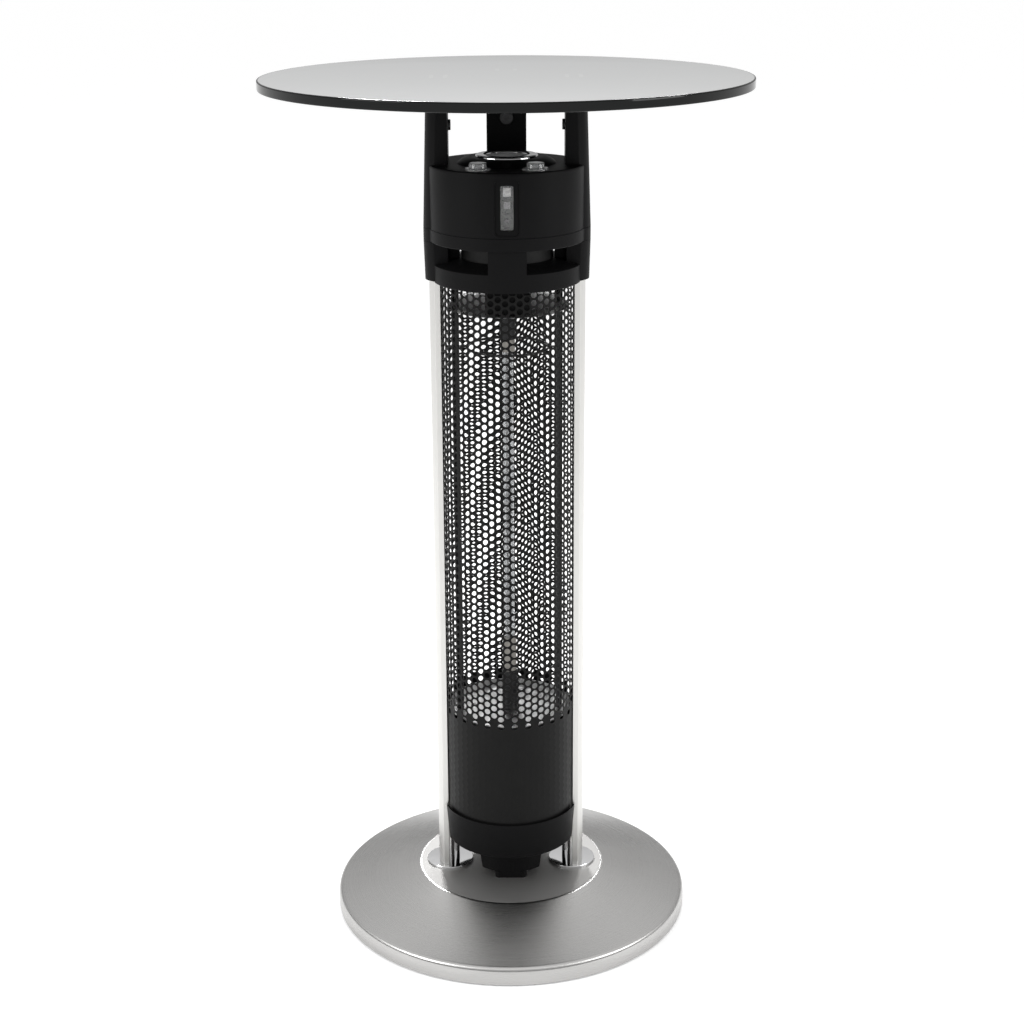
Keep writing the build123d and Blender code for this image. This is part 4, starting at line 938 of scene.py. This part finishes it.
cells = domed.node(
    "GeometryNodePoints",
    None,
    {"Count": given["Columns"] * given["Columns"], "Position": domed.join(across, along, 0.0)},
)
tile = domed.node("GeometryNodeObjectInfo", None, {"Object": given["Holed cell"]}, output="Geometry")
placed = domed.node(
    "GeometryNodeInstanceOnPoints", None, {"Points": cells, "Selection": inside, "Instance": tile}
)
flat = domed.node("GeometryNodeRealizeInstances", None, {"Geometry": placed})
welded = domed.node("GeometryNodeMergeByDistance", None, {"Geometry": flat, "Distance": 0.01 * mm})
x, y, z = domed.parts(domed.node("GeometryNodeInputPosition"))
fall = (x * x + y * y) / (given["Radius"] * given["Radius"])
domed_place = domed.join(x, y, given["Height"] - fall * given["Rise"])
domed.end(domed.node("GeometryNodeSetPosition", None, {"Geometry": welded, "Position": domed_place}))
grille = domed.grow(
    "speaker_mesh",
    {
        "Holed cell": cell("grille_cell", grille_step, grille_pitch, grille_hole, grille_sides),
        "Columns": 2 * grille_rows + 1,
        "Column step": grille_step,
        "Pitch": grille_pitch,
        "Radius": grille_radius - 1.2 * mm,
        "Rise": 1.9 * mm,
        "Height": grille_high.z,
        "Material": grille_grey.material,
    },
)
walled(grille, 0.5 * mm)
stands_for(grille, "heater", "grey_mesh", "speaker_grille")

cone_paper = moulded("cone_paper", (0.03, 0.03, 0.032, 1), 0.7, grain=0.8 * mm)
magnet_grey = moulded("magnet_ferrite", (0.04, 0.04, 0.042, 1), 0.5, grain=0.8 * mm)
keep(cone_paper, "speaker_cone")
keep(rubber, "cone_surround")
keep(magnet_grey, "speaker_magnet")
keep(zinc, "speaker_basket")

# ----------------------------------------------------- rocker switches and boots
# Two sealed rocker switches on the deck. Each rocks under a clear silicone boot,
# whose flange lies flat on the deck.
boot_clear = Finish(
    "clear_silicone_boot",
    (0.9, 0.92, 0.92, 1),
    0.08,
    {"Transmission Weight": 0.85, "IOR": 1.41, "Alpha": 0.65, "Coat Weight": 1.0},
)
boot_clear.vary(boot_clear.noise(5 * mm, 3.0), ((0.86, 0.88, 0.88, 1), (0.97, 0.98, 0.98, 1)), (0.04, 0.12))
rocker_plastic = moulded("rocker_plastic", (0.02, 0.02, 0.021, 1), 0.3, strength=0.1)
boot_flange = 2.8 * mm
boot_cap = 11 * mm
boot_wall = 1.2 * mm
boot_ease = 1.8 * mm
for side in ("left", "right"):
    boot_low, boot_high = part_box(f"switch_boot_{side}")
    boot_middle = (boot_low + boot_high) / 2
    flange = (boot_high.x - boot_low.x) / 2
    boot_outline = [
        (0, boot_high.z - boot_wall, 0),
        (boot_cap - boot_wall, boot_high.z - boot_wall, boot_ease - boot_wall / 2),
        (boot_cap - boot_wall, boot_low.z, 0),
        (flange, boot_low.z, 0.4 * mm),
        (flange, boot_low.z + boot_flange, 1.0 * mm),
        (boot_cap, boot_low.z + boot_flange, 0.8 * mm),
        (boot_cap - 0.5 * mm, boot_high.z, boot_ease),
        (0, boot_high.z, 0),
    ]
    boot = made(
        f"boot_{side}", lathed(eased(boot_outline), (boot_middle.x, boot_middle.y), 64), boot_clear
    )
    stands_for(boot, "heater", "clear_silicone", f"switch_boot_{side}")
    softened(f"rocker_{side}", rocker_plastic, 0.4 * mm, f"rocker_{side}_body", "switch_plastic")
    keep(rocker_plastic, f"switch_body_{side}")

# ----------------------------------------------------------------- push button
# A round moulded button, flush with the dome's front slope, over a sealed switch.
softened("push_button", satin_plastic, 0.2 * mm, "button_body", "switch_plastic")
keep(rocker_plastic, "button_switch")

# ----------------------------------------------------------------------- studio
# A pale floor and backdrop, a soft dome of light, two large soft boxes in front and
# two small ones behind, aimed at the base.
floor_half = 30.0
floor_paint = Finish("pale_floor", (0.92, 0.92, 0.92, 1), 0.6)
floor_paint.fill(
    floor_paint.shader,
    {"Specular IOR Level": 0.1, "Emission Color": (1.0, 1.0, 1.0, 1.0), "Emission Strength": 0.25},
)
ground = bmesh.new()
bmesh.ops.create_grid(ground, x_segments=1, y_segments=1, size=floor_half)
studio_floor = made("studio_floor", ground, floor_paint)

world = bpy.data.worlds.new("studio_light")
bpy.context.scene.world = world
world.use_nodes = True
sky = Tree(world.node_tree)
background = sky.group.nodes["Background"]
to_camera = sky.node("ShaderNodeLightPath", output="Is Camera Ray")
direction = sky.node("ShaderNodeTexCoord", output="Generated")
x, y, z = sky.parts(direction)
lift = sky.node(
    "ShaderNodeMapRange", None, {"Value": z, "From Min": 0.12, "From Max": 0.8, "To Min": 0.34, "To Max": 1.0}
)
sky.fill(background, {"Color": (1.0, 1.0, 1.0, 1.0), "Strength": lift * (1 - to_camera) + to_camera * 1.05})


def soft_box(name, place, target, size, energy):
    """A square soft box that faces a point."""
    lamp = bpy.data.lights.new(name, "AREA")
    lamp.energy = energy
    lamp.size = size
    box = bpy.data.objects.new(name, lamp)
    box.location = place
    box.rotation_euler = (Vector(target) - Vector(place)).to_track_quat("-Z", "Y").to_euler()
    bpy.context.scene.collection.objects.link(box)


head_centre = (0, 0, 0.75)
soft_box("left_box", (-2.4, -1.4, 1.9), head_centre, 1.6, 42)
soft_box("right_box", (2.5, -1.0, 1.6), head_centre, 1.4, 30)
base_centre = (0, 0, 0.05)
soft_box("rear_left_box", (-0.35, 2.0, 1.95), base_centre, 0.25, 22)
soft_box("rear_right_box", (0.45, 2.0, 1.95), base_centre, 0.25, 6)

camera_data = bpy.data.cameras.new("camera")
camera_data.sensor_width = 36
camera_data.lens = 67.26
camera_data.shift_y = -0.05
camera = bpy.data.objects.new("camera", camera_data)
pitch, yaw, roll = radians(16.67), radians(0.11), radians(-0.324)
ahead = Vector((sin(yaw) * cos(pitch), cos(yaw) * cos(pitch), -sin(pitch)))
right = Vector((cos(yaw), -sin(yaw), 0))
up = right.cross(ahead)
rolled_right = cos(roll) * right + sin(roll) * up
rolled_up = cos(roll) * up - sin(roll) * right
turned = Matrix((rolled_right, rolled_up, -ahead)).transposed()
camera.matrix_world = Matrix.Translation((0, -2.3469, 1.3225)) @ turned.to_4x4()
bpy.context.scene.collection.objects.link(camera)
bpy.context.scene.camera = camera
bpy.context.scene.view_settings.view_transform = "Standard"
